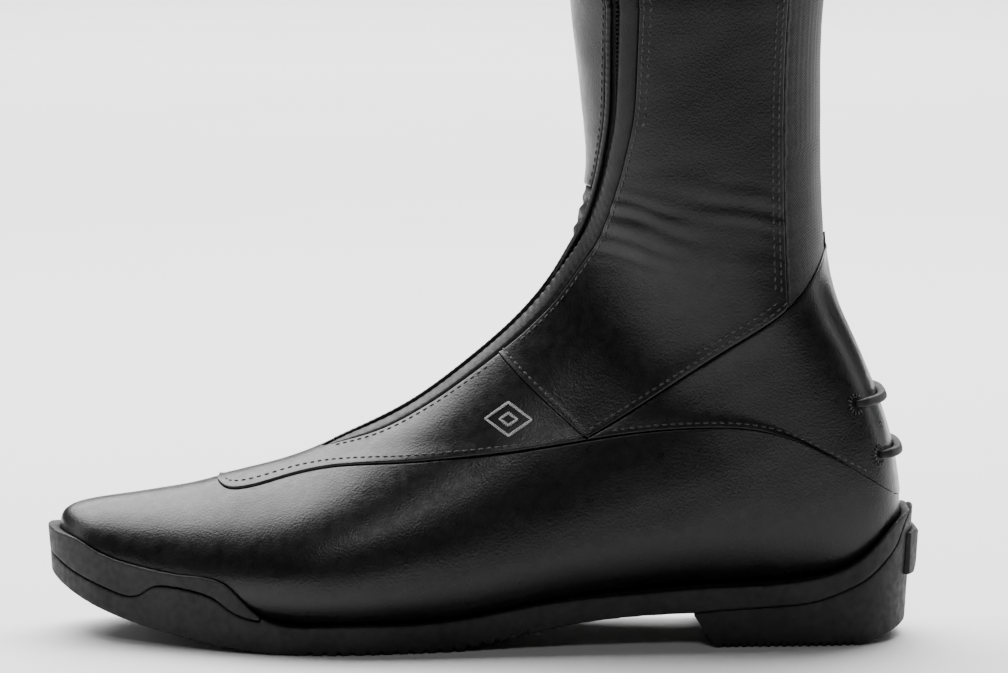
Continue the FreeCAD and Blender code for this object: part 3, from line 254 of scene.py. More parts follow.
def make_grid():
    """The form's points and outward normals on a fine grid of stations and turns."""
    start = TIP_X - PIVOT_X
    tip = start + np.array([0.12, 0.35, 0.7, 1.2, 1.9, 2.8, 3.9, 5.2, 6.7])
    foot = np.arange(tip[-1] + 1.2, 0.0, 1.2)
    fan = np.arange(0.0, 90.0, 0.5)
    shaft = np.arange(90.0, TOP_S + 8, 1.5)
    stations = np.concatenate([tip, foot, fan, shaft])
    v = np.linspace(-1, 1, 2 * COLUMNS + 1)
    points = np.zeros((len(stations), len(v), 3))
    girth = {-1: np.zeros(len(stations)), 1: np.zeros(len(stations))}
    for i, s in enumerate(stations):
        origin, along = section_line(s)
        near, far = section_limits(s)
        narrow = 1.0
        tip_distance = origin[0] - TIP_X
        if s < 0 and tip_distance < TIP_ROUNDING:
            narrow = math.sqrt(max(1e-6, 1 - (1 - tip_distance / TIP_ROUNDING) ** 2))
        for side in (-1, 1):
            width = WIDTH[side](s) * narrow
            height = PIVOT_Z + s - 90
            if side < 0 and s > 90 and height > ZIP_STRAIGHT_Z:
                x, y = straight_run(height)
                width = -y / front_half_width(s, near, far, x, 1.0)
            reach, half = half_shape(s, near, far, width)
            length = np.concatenate([[0], np.cumsum(np.hypot(np.diff(reach), np.diff(half)))])
            girth[side][i] = length[-1]
            goal = np.abs(v[v * side >= 0]) * length[-1]
            r, h = np.interp(goal, length, reach), np.interp(goal, length, half)
            rows = np.stack([origin[0] + along[0] * r, MIDDLE(s) + side * h, origin[1] + along[1] * r], 1)
            points[i, v * side >= 0] = rows
    along_s = np.gradient(points, stations, axis=0)
    wrap = np.concatenate([points[:, -2:-1], points, points[:, 1:2]], 1)
    around = wrap[:, 2:] - wrap[:, :-2]
    normals = np.cross(along_s, around)
    normals /= np.maximum(np.linalg.norm(normals, axis=2, keepdims=True), 1e-9)
    return stations, points, normals, girth


STATIONS, POINTS, NORMALS, GIRTHS = make_grid()


def lookup(table, s, v):
    """The table's values at stations s and turns v, which may be arrays."""
    v = (np.asarray(v, float) + 1) % 2 - 1
    s = np.clip(s, STATIONS[0], STATIONS[-1])
    i = np.clip(np.searchsorted(STATIONS, s, side="right") - 1, 0, len(STATIONS) - 2)
    a = ((s - STATIONS[i]) / (STATIONS[i + 1] - STATIONS[i]))[..., None]
    column = (v + 1) * COLUMNS
    j = np.clip(column.astype(int), 0, 2 * COLUMNS - 1)
    b = (column - j)[..., None]
    return (table[i, j] * (1 - b) + table[i, j + 1] * b) * (1 - a) + \
        (table[i + 1, j] * (1 - b) + table[i + 1, j + 1] * b) * a


def surface(s, v, height=0.0):
    """Points and unit normals of the form, raised by height."""
    s, v = np.broadcast_arrays(np.asarray(s, float), np.asarray(v, float))
    normal = unit(lookup(NORMALS, s, v))
    return lookup(POINTS, s, v) + normal * np.asarray(height)[..., None], normal


def girth(s, side):
    return np.interp(s, STATIONS, GIRTHS[side])


HALF_TURN = np.linspace(0, 1, COLUMNS + 1)


def middle_reach(s, side):
    """Reach along the section's middle line of the form's points at each of the half turns."""
    origin, along = section_line(s)
    p, _ = surface(np.full(COLUMNS + 1, s), side * HALF_TURN)
    return (p[:, 0] - origin[0]) * along[0] + (p[:, 2] - origin[1]) * along[1]


def turn_at(x, z, side):
    """Where around the form the point seen from the side at (x, z) lies."""
    s = station_of(x, z)
    origin, along = section_line(s)
    reach = (x - origin[0]) * along[0] + (z - origin[1]) * along[1]
    return s, side * np.interp(reach, middle_reach(s, side), HALF_TURN)


def seam_line(points, side, count=160, trim=(0.0, 1.0)):
    """A seam as stations and turns, in order along it."""
    line = smooth_curve(points, count)
    line = line[int(trim[0] * count):max(2, int(trim[1] * count))]
    pairs = np.array([turn_at(x, z, side) for x, z in line])
    return pairs[:, 0], pairs[:, 1]


def seam_turn(points, side):
    """The seam's turn as a function of the station."""
    s, v = seam_line(points, side, 400)
    s = np.maximum.accumulate(s) + 1e-5 * np.arange(len(s))
    return lambda at: np.interp(at, s, v)


def top_station(turns, side):
    """The station of the boot's top edge at each turn."""
    line = smooth_curve(TOP_LATERAL if side < 0 else TOP_MEDIAL, 300)
    s = np.full(len(turns), station_at(470.0))
    for _ in range(5):
        x = surface(s, turns)[0][:, 0]
        s = station_at(np.interp(x, line[:, 0], line[:, 1]))
    return s


# ---- the zip's line ------------------------------------------------------------------------------
SETBACK = hermite(ZIP_SETBACK)


def zip_reach(s):
    """Reach of the zip's middle: set back from the front line, then on the shaft's straight run."""
    height = PIVOT_Z + s - 90
    if s > 90 and height > ZIP_STRAIGHT_Z:
        return straight_run(height)[0] - PIVOT_X
    return section_limits(s)[0] + SETBACK(s)


def turns_from(first, reach_at, side):
    """Stations from the first one up, and the turn at which the form has the wanted reach at each."""
    stations = np.arange(first, TOP_S, 1.0)
    turns = [side * np.interp(reach_at(s), middle_reach(s, side), HALF_TURN) for s in stations]
    return stations, np.array(turns)


ZIP_STATIONS, ZIP_TURNS = turns_from(-60.0, zip_reach, -1)
SHIN_STATIONS, SHIN_TURNS = turns_from(50.0, lambda s: section_limits(s)[0] + SHIN_SEAM_SETBACK, 1)


def zip_turn(s):
    return np.interp(s, ZIP_STATIONS, ZIP_TURNS)


def beside_zip(u):
    """The line at u mm across the zip; negative is the outer side."""
    return lambda s: zip_turn(s) + u / girth(s, -1)


def band_width(s):
    return BAND_WIDTH * np.sin(np.clip((s - BAND_TIP) / BAND_WIDENING, 0, 1) * np.pi / 2)


def outer_zip_edge(s):
    opening = GAP / 2 * np.clip((s - BAND_TIP) / GAP_OPENING, 0, 1)
    edge = zip_turn(s) - (opening + band_width(s) + KERF) / girth(s, -1)
    return np.where(s < BAND_TIP, 0.0, edge)


def inner_zip_edge(s):
    share = np.clip((s - BAND_TIP) / GAP_OPENING, 0, 1)
    edge = zip_turn(s) + share * (GAP / 2 + PIPING_WIDTH + 2 * KERF) / girth(s, -1)
    return np.where(s < BAND_TIP, 0.0, edge)


def shin_seam(s):
    """The seam behind the shin panel, which starts at the zip's edge where the gusset does."""
    edge = inner_zip_edge(s)
    return edge + (np.interp(s, SHIN_STATIONS, SHIN_TURNS) - edge) * eased((s - GUSSET_FROM) / 10.0)


# ---- the zip's own frame: a straight run up the shaft, where the slider travels -----------------
RUN_BLEND = 30.0
RUN_INNER_U, RUN_OUTER_U, RUN_CURVE = 4.2, 8.0, 1 / 130
ZIP_END = station_at(ZIP_TOP_Z)
PIPING_START = -20.8
TAPE, TAPE_EDGE, TAPE_REACH = (-2.5, -2.9), 0.9, 5.0
GUARD, GUARD_REACH, GUARD_START = (-6.7, -7.6), 9.0, 76.0
TAB_Z, TAB_HALF_HEIGHT, TAB_HINGE_U, TAB_END_U, TAB = 458.0, 9.0, -12.0, 18.0, (1.0, 2.6)
SNAP_U, TAB_BASE_REACH, FOLD_RADIUS, TAB_INSET = 11.5, 9.0, 0.8, 2.0
COIL_PITCH, COIL_RADIUS, COIL_HEIGHT, COIL_DEPTH = 1.5, 0.36, -3.6, 0.45
HALF_GIRTH_AT_TOP = 150.0


RUN_MIDDLE = station_at(345.0)
RUN_ALONG = unit(np.array([*straight_run(ZIP_TOP_Z), ZIP_TOP_Z])
                 - np.array([*straight_run(ZIP_STRAIGHT_Z), ZIP_STRAIGHT_Z]))
run_normal = surface(RUN_MIDDLE, zip_turn(RUN_MIDDLE))[1]
RUN_OUT = unit(run_normal - RUN_ALONG * run_normal.dot(RUN_ALONG))
RUN_ACROSS = np.cross(RUN_OUT, RUN_ALONG)


def zip_point(s, u, n):
    """Points u across the zip and n outwards at stations s."""
    s, u, n = (np.asarray(a, float) for a in np.broadcast_arrays(s, u, n))
    middle_turn = zip_turn(s)
    on_leather, _ = surface(s, middle_turn + u / girth(s, -1), n)
    middle, _ = surface(s, middle_turn)
    on_run = middle + RUN_ACROSS * u[..., None] + RUN_OUT * (n - RUN_CURVE * u * u)[..., None]
    run_share = np.clip((s - RUN_START + RUN_BLEND) / RUN_BLEND, 0, 1)
    edge_share = np.clip((RUN_OUTER_U - np.abs(u)) / (RUN_OUTER_U - RUN_INNER_U), 0, 1)
    share = (run_share * edge_share)[..., None]
    return on_leather * (1 - share) + on_run * share


# ---- meshes --------------------------------------------------------------------------------------
PIECES = {}


def ripple(points, wavelength, amplitude, seed, waves=9):
    """A soft random height over points, from waves in random directions."""
    draw = np.random.default_rng(seed)
    total = np.zeros(points.shape[:-1])
    for _ in range(waves):
        direction = unit(draw.normal(size=3))
        turn = 2 * np.pi / (wavelength * draw.uniform(0.7, 1.6))
        total += np.sin(points @ direction * turn + draw.uniform(0, 6.28))
    return amplitude * total / math.sqrt(waves)


def add_object(name, data):
    obj = bpy.data.objects.new(name, data)
    bpy.context.scene.collection.objects.link(obj)
    return obj


def new_object(name, points, faces, slot_name, body="boot", uv=None, replaces=()):
    """A mesh object from points in mm; it rides on its body and takes its slot's finish."""
    mesh = bpy.data.meshes.new(name)
    points = (np.asarray(points, float).reshape(-1, 3) + SHIFT) * MM
    faces = np.asarray(faces)
    mesh.vertices.add(len(points))
    mesh.vertices.foreach_set("co", points.astype(np.float32).ravel())
    mesh.loops.add(faces.size)
    mesh.loops.foreach_set("vertex_index", faces.astype(np.int32).ravel())
    mesh.polygons.add(len(faces))
    mesh.polygons.foreach_set("loop_start", np.arange(0, faces.size, faces.shape[1], dtype=np.int32))
    mesh.update(calc_edges=True)
    mesh.polygons.foreach_set("use_smooth", np.ones(len(faces), bool))
    if uv is not None:
        layer = mesh.uv_layers.new(name="UVMap")
        layer.data.foreach_set("uv", np.asarray(uv, np.float32).reshape(-1, 2)[faces.ravel()].ravel())
    obj = PIECES[name] = add_object(name, mesh)
    return finish_piece(obj, slot_name, body, replaces)


def finish_piece(obj, slot_name, body, replaces=()):
    obj.data.materials.clear()
    obj.data.materials.append(MATERIALS[slot_name])
    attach(obj, body)
    if replaces:
        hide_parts(*replaces)
    return obj


def grid_faces(rows, columns, start=0, flip=False):
    i, j = np.meshgrid(np.arange(rows - 1), np.arange(columns - 1), indexing="ij")
    a = (start + i * columns + j).ravel()
    faces = np.stack([a, a + 1, a + columns + 1, a + columns], 1)
    return faces[:, ::-1] if flip else faces


def round_faces(rows, around):
    """Faces between rings of points that close on themselves."""
    i, j = np.meshgrid(np.arange(rows - 1), np.arange(around), indexing="ij")
    a, b = (i * around + j).ravel(), (i * around + (j + 1) % around).ravel()
    return np.stack([a, b, b + around, a + around], 1)


def ring_of(rows, columns):
    """The border of a rows by columns grid, in order."""
    top = np.arange(columns)
    right = np.arange(1, rows) * columns + columns - 1
    bottom = (rows - 1) * columns + np.arange(columns - 2, -1, -1)
    left = np.arange(rows - 2, 0, -1) * columns
    return np.concatenate([top, right, bottom, left])


def shell(outer, inner):
    """A closed shell between two grids of points: its points and faces, facing outwards."""
    rows, columns = outer.shape[:2]
    count = rows * columns
    ring = ring_of(rows, columns)
    following = np.roll(ring, -1)
    sides = np.stack([ring, ring + count, following + count, following], 1)
    faces = np.concatenate([grid_faces(rows, columns), grid_faces(rows, columns, count, True), sides])
    points = np.concatenate([outer.reshape(-1, 3), inner.reshape(-1, 3)])
    i, j = rows // 2, columns // 2
    across, along = outer[i, j - 1] - outer[i, j], outer[i - 1, j] - outer[i, j]
    if np.cross(across, along) @ (outer - inner)[i, j] < 0:
        faces = faces[:, ::-1]
    return points, faces


EDGE_STEPS = [0.0, 0.22, 0.55, 1.0, 1.6, 2.5, 3.8]


def fractions(length, step):
    """Fractions along a length, closer together near both of its ends."""
    if length < 4 * EDGE_STEPS[-1]:
        return np.linspace(0, 1, max(9, int(length / 0.8)))
    inside = np.linspace(EDGE_STEPS[-1], length - EDGE_STEPS[-1], max(2, int(length / step)))
    ends = np.array(EDGE_STEPS[:-1])
    return np.concatenate([ends, inside, length - ends[::-1]]) / length


def edge_distances(points):
    """For each point of a grid, the distance along the grid to its left, right, first and last border."""
    across = np.linalg.norm(np.diff(points, axis=1), axis=2)
    left = np.concatenate([np.zeros((len(points), 1)), np.cumsum(across, 1)], 1)
    along = np.linalg.norm(np.diff(points, axis=0), axis=2)
    first = np.concatenate([np.zeros((1, points.shape[1])), np.cumsum(along, 0)], 0)
    return left, left[:, -1:] - left, first, first[-1:] - first


def both_sides(distances):
    """Texture coordinates in mm for both faces of a shell, from its edge distances."""
    return np.concatenate([np.stack([distances[0], distances[2]], 2).reshape(-1, 2)] * 2)


def rounded(distance, radius):
    """How far the surface drops near an edge with a rounded corner."""
    t = np.clip(distance / radius, 0, 1)
    return -radius * (1 - np.sqrt(1 - (1 - t) ** 2))


THICKNESS = 1.6


def widths_between(left, right, s):
    """The form's own distance between two turns at each station."""
    share = np.linspace(0, 1, 9)
    line, _ = surface(s[:, None], left(s)[:, None] + (right(s) - left(s))[:, None] * share)
    return np.linalg.norm(np.diff(line, axis=1), axis=2).sum(1)


def row_stations(left, right, low, high, step):
    """Stations between two limits, evenly spaced along the longer of the two borders."""
    s = np.linspace(low, high, 1600)
    longest = np.zeros(len(s) - 1)
    for border in (left, right, lambda s: (left(s) + right(s)) / 2):
        line, _ = surface(s, border(s))
        longest = np.maximum(longest, np.linalg.norm(np.diff(line, axis=0), axis=1))
    length = np.concatenate([[0], np.cumsum(longest)])
    share = fractions(length[-1], step)
    return (np.interp(share * length[-1], length, s) - low) / (high - low)


def by_turn(limit):
    """A station limit as a function of the turn, whether it was given as one or as a number."""
    return limit if callable(limit) else lambda turns: np.full(np.shape(turns), float(limit))


def panel(name, left, right, first, last, slot_name="leather", laps=(0, 0, 0, 0), edge=0.55, step=2.2,
          relief=None, thickness=THICKNESS, level=0.0, rims=(1, 1, 1, 1), replaces=(), padding=0.12):
    """A panel of leather on the form between two turns (left, right, by station) and two stations
    (first, last, by turn). laps raises it near each border where it lies over its neighbour, and rims
    says which borders are rounded: left, right, first, last."""
    limits = by_turn(first), by_turn(last)
    guess = [limit(np.array([0.5 * (left(60.0) + right(60.0))]))[0] for limit in limits]
    spans = widths_between(left, right, np.linspace(*guess, 60))
    t = fractions(np.percentile(spans, 75), step)
    ends = []
    for limit in limits:
        s = np.full(len(t), limit(np.array([0.0]))[0])
        for _ in range(14):
            s = 0.4 * s + 0.6 * limit(left(s) + (right(s) - left(s)) * t)
        ends.append(s)
    r = row_stations(left, right, ends[0].min(), ends[1].max(), step)
    s = ends[0][None] + (ends[1] - ends[0])[None] * r[:, None]
    v = left(s) + (right(s) - left(s)) * t[None]
    base, _ = surface(s, v)
    distances = edge_distances(base)
    height = np.full(s.shape, level) + ripple(base, 34.0, padding, 3) + ripple(base, 15.0, padding * 0.35, 4)
    for distance, lap, rim in zip(distances, laps, rims):
        height += lap * np.exp(-(distance / 5.0) ** 2)
        if rim:
            height += rounded(distance, edge)
    if relief is not None:
        height += relief(s, v, base, distances)
    outer, _ = surface(s, v, height)
    inner, _ = surface(s, v, np.full(s.shape, level - thickness))
    points, faces = shell(outer, inner)
    new_object(name, points, faces, slot_name, uv=both_sides(distances), replaces=replaces)


# ---- creases -------------------------------------------------------------------------------------
def crease(base, line, depth, width, fade=8.0):
    """A soft valley with raised lips along a line seen from the side."""
    (x0, z0), (x1, z1) = line
    dx, dz = x1 - x0, z1 - z0
    length = math.hypot(dx, dz)
    along = ((base[..., 0] - x0) * dx + (base[..., 2] - z0) * dz) / length
    bow = np.sin(np.clip(along / length, 0, 1) * np.pi) * 0.05 * length
    off = ((base[..., 0] - x0) * -dz + (base[..., 2] - z0) * dx) / length - bow
    past = np.maximum(0, np.maximum(-along, along - length))
    fading = np.exp(-(past / fade) ** 2)
    lips = 0.45 * np.exp(-((np.abs(off) - 2.1 * width) / (1.2 * width)) ** 2)
    return depth * (lips - np.exp(-(off / width) ** 2)) * fading


# each crease's ends seen from the side, its depth and its width
ANKLE_CREASES = [
    (((41, 151), (60, 147)), 0.15, 1.3), (((40, 146), (64, 139.5)), 0.19, 1.5),
    (((39, 139), (58, 134)), 0.15, 1.3), (((38, 132.5), (54, 129.5)), 0.11, 1.3),
    (((76, 150), (103, 144)), 0.17, 1.8), (((80, 143.5), (100, 139.5)), 0.10, 1.5),
    (((84, 157), (98, 154)), 0.06, 1.6),
]


def ankle_relief(s, v, base, distances):
    lift = np.zeros(s.shape)
    for line, depth, width in ANKLE_CREASES:
        lift += crease(base, line, depth, width)
    near_ankle = np.exp(-((base[..., 2] - 145) / 22.0) ** 2)
    return lift + near_ankle * ripple(base * np.array([0.4, 0.4, 1.6]), 11.0, 0.06, 11)


def gusset_relief(s, v, base, distances):
    left, right, first, last = distances
    belly = np.clip(np.minimum(first, last) / 6.0, 0, 1)
    folds = np.sin(base[..., 2] * 2 * np.pi / 6.2 + base[..., 1] * 0.35) + 0.6 * ripple(base, 7.0, 1.0, 21)
    sides = np.clip(np.minimum(left, right) / 2.5, 0, 1)
    return (0.5 * folds + 0.35) * belly * sides


# ---- the upper -----------------------------------------------------------------------------------
vamp_turn, heel_turn, gore_turn = (
    {side: seam_turn(seam, side) for side, _ in SIDES} for seam in (VAMP_SEAM, HEEL_SEAM, GORE_LINE))
VAMP_START_S, VAMP_MEDIAL_S = station_of(*VAMP_SEAM[0]), -8.0
VAMP_BACK_S = max(station_of(x, z) for x, z in smooth_curve(VAMP_SEAM, 400)[-90:]) - 0.05
HEEL_FRONT_S, GORE_FOOT_S = station_of(35.0, 71.0), station_of(102.6, 115.2)
HEEL_TOP_S, SHAFT_FOOT_S = station_of(119.0, 137.0), station_of(-1.0, 105.2)
VAMP_TIP_S = TIP_X - PIVOT_X + 0.15


def lower_edge(side):
    """The shaft's lower edge as a station for each turn: the quarter's notch, then the heel seam."""
    notch_s, notch_v = seam_line(QUARTER_NOTCH[:4], side)
    heel_s, heel_v = seam_line(HEEL_SEAM[1:], side)
    s = np.concatenate([notch_s[:-3], heel_s])
    v = np.abs(np.concatenate([notch_v[:-3], heel_v]))
    order = np.argsort(v)
    return lambda turns: np.interp(np.abs(np.asarray(turns)), v[order], s[order])


def notch_edge(side):
    s, v = seam_line(QUARTER_NOTCH, side)
    order = np.argsort(np.abs(v))
    return lambda turns: np.interp(np.abs(turns), np.abs(v)[order], s[order])


def vamp_upper(side):
    seam = vamp_turn[side]

    def at(s):
        opening = np.clip((s - VAMP_START_S) / 0.6, 0, 1)
        v = seam(s) * opening + side * KERF / girth(s, side) * opening
        return np.clip(v, -1.0, 1.0)

    return at


def shaft_back(side):
    """The shaft's border behind and below: the quarter's notch, the heel seam, then the gore."""
    notch_s, notch_v = seam_line(QUARTER_NOTCH[:4], side)
    heel_s, heel_v = seam_line(HEEL_SEAM[1:], side, 300)
    gore_s, gore_v = seam_line(GORE_LINE, side, 500)
    below, above = heel_s < GORE_FOOT_S, gore_s > GORE_FOOT_S
    s = np.concatenate([notch_s, heel_s[below], gore_s[above]])
    v = np.concatenate([notch_v, heel_v[below], gore_v[above]])
    s = np.maximum.accumulate(s) + 1e-5 * np.arange(len(s))
    return lambda at: np.interp(at, s, v)


def shaft_foot(side, front):
    """The station where the shaft's lower point starts, behind the leather's edge beside the zip."""
    s = np.linspace(SHAFT_FOOT_S, 50.0, 500)
    width = (np.abs(shaft_back(side)(s)) - np.abs(front(s))) * np.abs(girth(s, side))
    return float(s[np.argmax(width > 0.5)])


def near_seam(turn, side, mm):
    return lambda s: turn(s) + side * mm / girth(s, side)


def build_side(side, name):
    """The panels of one side of the boot."""
    upper, low_edge = vamp_upper(side), vamp_turn[side]
    zip_edge = outer_zip_edge if side < 0 else inner_zip_edge

    def top(turns):
        return top_station(turns, side)

    def middle_line(s):
        return np.full(np.shape(s), float(side))

    def quarter_front(s):
        return np.where(s < BAND_TIP, side * KERF / girth(s, side), zip_edge(s))

    def shaft_front(s):
        return zip_edge(s) if side < 0 else shin_seam(s) + KERF / girth(s, side)

    if side < 0:
        panel("vamp_lateral", upper, middle_line, VAMP_TIP_S, VAMP_BACK_S, rims=(1, 0, 0, 0), step=1.9,
              replaces=("vamp",))
    else:
        panel("vamp_toe", upper, middle_line, VAMP_TIP_S, VAMP_MEDIAL_S, rims=(1, 0, 0, 1), step=1.9,
              replaces=("vamp",))
        panel("vamp_medial", upper, middle_line, VAMP_MEDIAL_S + KERF, VAMP_BACK_S, rims=(1, 0, 1, 0),
              laps=(0, 0, 0.4, 0), step=1.9, replaces=("vamp_medial",))
    panel("quarter_" + name, quarter_front, low_edge, VAMP_START_S + 0.4, notch_edge(side),
          laps=(0.1, 0.55, 0.3, 0), step=1.9, replaces=("quarter_" + name,))
    panel("heel_quarter_" + name, near_seam(heel_turn[side], side, KERF), low_edge, HEEL_FRONT_S, HEEL_TOP_S,
          laps=(0.3, 0.55, 0, 0), rims=(1, 1, 1, 0), step=1.9, replaces=("heel_quarter",))
    panel("shaft_" + name, shaft_front, shaft_back(side), shaft_foot(side, shaft_front), top,
          laps=(0.25, 0.4, 0, 0), rims=(1, 1, 0, 1), relief=ankle_relief, step=1.7,
          replaces=("shaft_" + name,))
    panel("rear_gore_" + name, near_seam(gore_turn[side], side, KERF), middle_line, lower_edge(side), top,
          slot_name="elastic", rims=(1, 0, 1, 1), level=-0.35, relief=gore_relief, step=1.5,
          replaces=("rear_gore",))


def build_upper():
    for side, name in SIDES:
        build_side(side, name)
    panel("shin_panel", inner_zip_edge, shin_seam, GUSSET_TO + 0.4, lambda turns: top_station(turns, 1),
          laps=(0.15, 0.15, 0.4, 0), step=1.8, replaces=("shin_panel",), padding=0.2)
    panel("instep_gusset", inner_zip_edge, shin_seam, GUSSET_FROM + 1.5, GUSSET_TO, slot_name="flex_leather",
          level=-0.35, step=0.8, relief=gusset_relief, replaces=("instep_gusset",))
    panel("zip_band", beside_zip_band, beside_zip(-GAP / 2), BAND_TIP + 1.0,
          lambda turns: top_station(turns, -1), slot_name="flex_leather", step=0.9, relief=band_relief,
          edge=0.7, replaces=("zip_band",), padding=0.03)


def beside_zip_band(s):
    return zip_turn(s) - (GAP / 2 + band_width(s)) / girth(s, -1)


def gore_relief(s, v, base, distances):
    """Ribs that run up the elastic, and the slight waves of its gathered edge."""
    ribs = 0.16 * np.sin(distances[0] * 2 * np.pi / 3.0)
    waves = 0.22 * np.exp(-(distances[0] / 6.0) ** 2) * np.sin(base[..., 2] * 2 * np.pi / 7.5)
    return ribs + waves


def band_relief(s, v, base, distances):
    """Fine creases across the band, deeper round the ankle."""
    along = distances[2]
    ankle = np.exp(-((s - 62.0) / 22.0) ** 2)
    fine = np.sin(along * 2 * np.pi / 2.9 + 1.4 * np.sin(along / 9.0) + 1.1 * np.sin(distances[0] * 0.7))
    return (0.07 + 0.22 * ankle) * fine + 0.25 * np.sin(np.clip(distances[0] / BAND_WIDTH, 0, 1) * np.pi)


def strip_on_zip(name, u, n, first, last, slot_name, step=0.7, count=500, relief=None, edge=0.3):
    """A strip beside the zip between two distances u across it, two heights n and two stations. It
    replaces the node of its own name."""
    across = np.linspace(u[0], u[1], max(5, int((u[1] - u[0]) / step) + 1))
    top = by_turn(last)(zip_turn(ZIP_END) + across / HALF_GIRTH_AT_TOP)
    s = first + (top - first)[None] * np.linspace(0, 1, count)[:, None]
    grid_u = np.repeat(across[None], count, 0)
    middle = zip_point(s, grid_u, np.full(s.shape, max(n)))
    distances = edge_distances(middle)
    lift = sum(rounded(d, edge) for d in distances)
    if relief is not None:
        lift = lift + relief(distances[2])
    points, faces = shell(zip_point(s, grid_u, max(n) + lift), zip_point(s, grid_u, min(n) - lift * 0.5))
    new_object(name, points, faces, slot_name, uv=both_sides(distances), replaces=(name,))


def coil(side, name):
    """One half of the zip's coil: a cord wound in narrow loops that reach just past the middle."""
    stations = np.linspace(ZIP_START_S + 3.0, ZIP_END - 6.0, 2000)
    length = running_length(zip_point(stations, 0.0, COIL_HEIGHT))
    turns = int(length[-1] / COIL_PITCH)
    phase = np.linspace(0, turns * 2 * np.pi, turns * 12)
    offset = COIL_PITCH / 2 if side > 0 else 0
    s = np.interp(phase / (2 * np.pi) * COIL_PITCH + offset, length, stations)
    u, n = side * (1.45 + 1.2 * np.cos(phase)), COIL_HEIGHT + COIL_DEPTH * np.sin(phase)
    tube("zip_coil_" + name, zip_point(s, u, n), COIL_RADIUS, "zip_coil", 6, replaces=("zip_coil_" + name,))


def tube(name, path, radius, slot_name, around, body="boot", replaces=()):
    """A closed tube along a path."""
    tangent = unit(np.gradient(path, axis=0))
    side = unit(np.cross(tangent, np.array([0.31, 0.83, 0.46])))
    other = np.cross(tangent, side)
    angle = (2 * np.pi * np.arange(around) / around)[None, :, None]
    ring = path[:, None] + radius * (side[:, None] * np.cos(angle) + other[:, None] * np.sin(angle))
    points = np.concatenate([ring.reshape(-1, 3), path[:1], path[-1:]])
    first, last = len(points) - 2, len(points) - 1
    k = np.arange(0, around, 2)
    fan = np.stack([k, (k + 1) % around, (k + 2) % around], 1)
    ends = np.full((len(k), 1), 1)
    caps = [np.hstack([first * ends, fan[:, ::-1]]), np.hstack([last * ends, fan + (len(path) - 1) * around])]
    faces = np.concatenate([round_faces(len(path), around)] + caps)
    return new_object(name, points, faces, slot_name, body, replaces=replaces)


# ---- stitching -----------------------------------------------------------------------------------
STITCH_PITCH, STITCH_LENGTH, STITCH_RADIUS = 2.75, 2.15, 0.33
STITCH_RINGS, STITCH_SIDES, STITCH_RISE = 5, 6, 0.02


def resample(points, normals):
    """Centres a stitch's pitch apart along a line, with the line's direction and the normal at each."""
    length = running_length(points)
    at = np.arange(STITCH_PITCH / 2, length[-1], STITCH_PITCH)

    def pick(table, where):
        return np.stack([np.interp(where, length, table[:, k]) for k in range(3)], 1)

    along = pick(points, np.minimum(at + 0.4, length[-1])) - pick(points, at - 0.4)
    return pick(points, at), unit(along), unit(pick(normals, at))


def on_panel(panel_name, centre, out):
    """Moves points onto a finished panel along its normals. The last result says which of them it holds."""
    mesh = PIECES[panel_name].data
    tree = BVHTree.FromPolygons([v.co for v in mesh.vertices], [p.vertices[:] for p in mesh.polygons])
    moved, facing, held = centre.copy(), out.copy(), np.zeros(len(centre), bool)
    for i, (point, normal) in enumerate(zip((centre + SHIFT) * MM, out)):
        hit, hit_normal, _, _ = tree.ray_cast(Vector(point + normal * 3 * MM), Vector(-normal), 6 * MM)
        if hit is not None and hit_normal.dot(Vector(normal)) > 0.3:
            moved[i] = np.array(hit) / MM - SHIFT
            facing[i] = unit(np.array(hit_normal) + normal)
            held[i] = True
    return moved, facing, held


def stitch_row(s, v, onto=None, height=0.22, slant=0.0):
    """A row of stitches along a line of stations and turns, on a panel if one is named."""
    points, normals = surface(s, v, np.full(np.shape(s), height))
    centre, along, out = resample(points, normals)
    if onto:
        centre, out, held = on_panel(onto, centre, out)
        centre, along, out = centre[held] + out[held] * STITCH_RISE, along[held], out[held]
    along = unit(along - out * np.sum(along * out, 1, keepdims=True))
    if slant:
        lean = np.where(np.arange(len(centre)) % 2, slant, -slant)[:, None]
        along = along * np.cos(lean) + np.cross(out, along) * np.sin(lean)
    return capsules(centre, along, out, STITCH_LENGTH, STITCH_RADIUS)


def capsules(centre, along, out, length, radius):
    """Points and faces of short threads, thick in the middle, whose ends dip into the leather."""
    across = np.cross(out, along)
    x = np.linspace(-1, 1, STITCH_RINGS)[None, :, None, None]
    angle = (2 * np.pi * np.arange(STITCH_SIDES) / STITCH_SIDES)[None, None, :, None]
    thickness = radius * np.sqrt(1 - (0.93 * x) ** 4)
    dip = -0.84 * radius * x**4
    points = (centre[:, None, None] + along[:, None, None] * x * length / 2
              + out[:, None, None] * (dip + thickness * np.sin(angle))
              + across[:, None, None] * thickness * np.cos(angle))
    last = (STITCH_RINGS - 1) * STITCH_SIDES
    ends = np.array([(0, 5, 4, 3), (0, 3, 2, 1)]), np.array([(0, 1, 2, 3), (0, 3, 4, 5)]) + last
    one = np.concatenate([round_faces(STITCH_RINGS, STITCH_SIDES), *ends])
    starts = STITCH_RINGS * STITCH_SIDES * np.arange(len(centre))
    return points.reshape(-1, 3), (one[None] + starts[:, None, None]).reshape(-1, 4)


def join(parts):
    points, faces, start = [], [], 0
    for p, f in parts:
        points.append(p)
        faces.append(f + start)
        start += len(p)
    return np.concatenate(points), np.concatenate(faces)


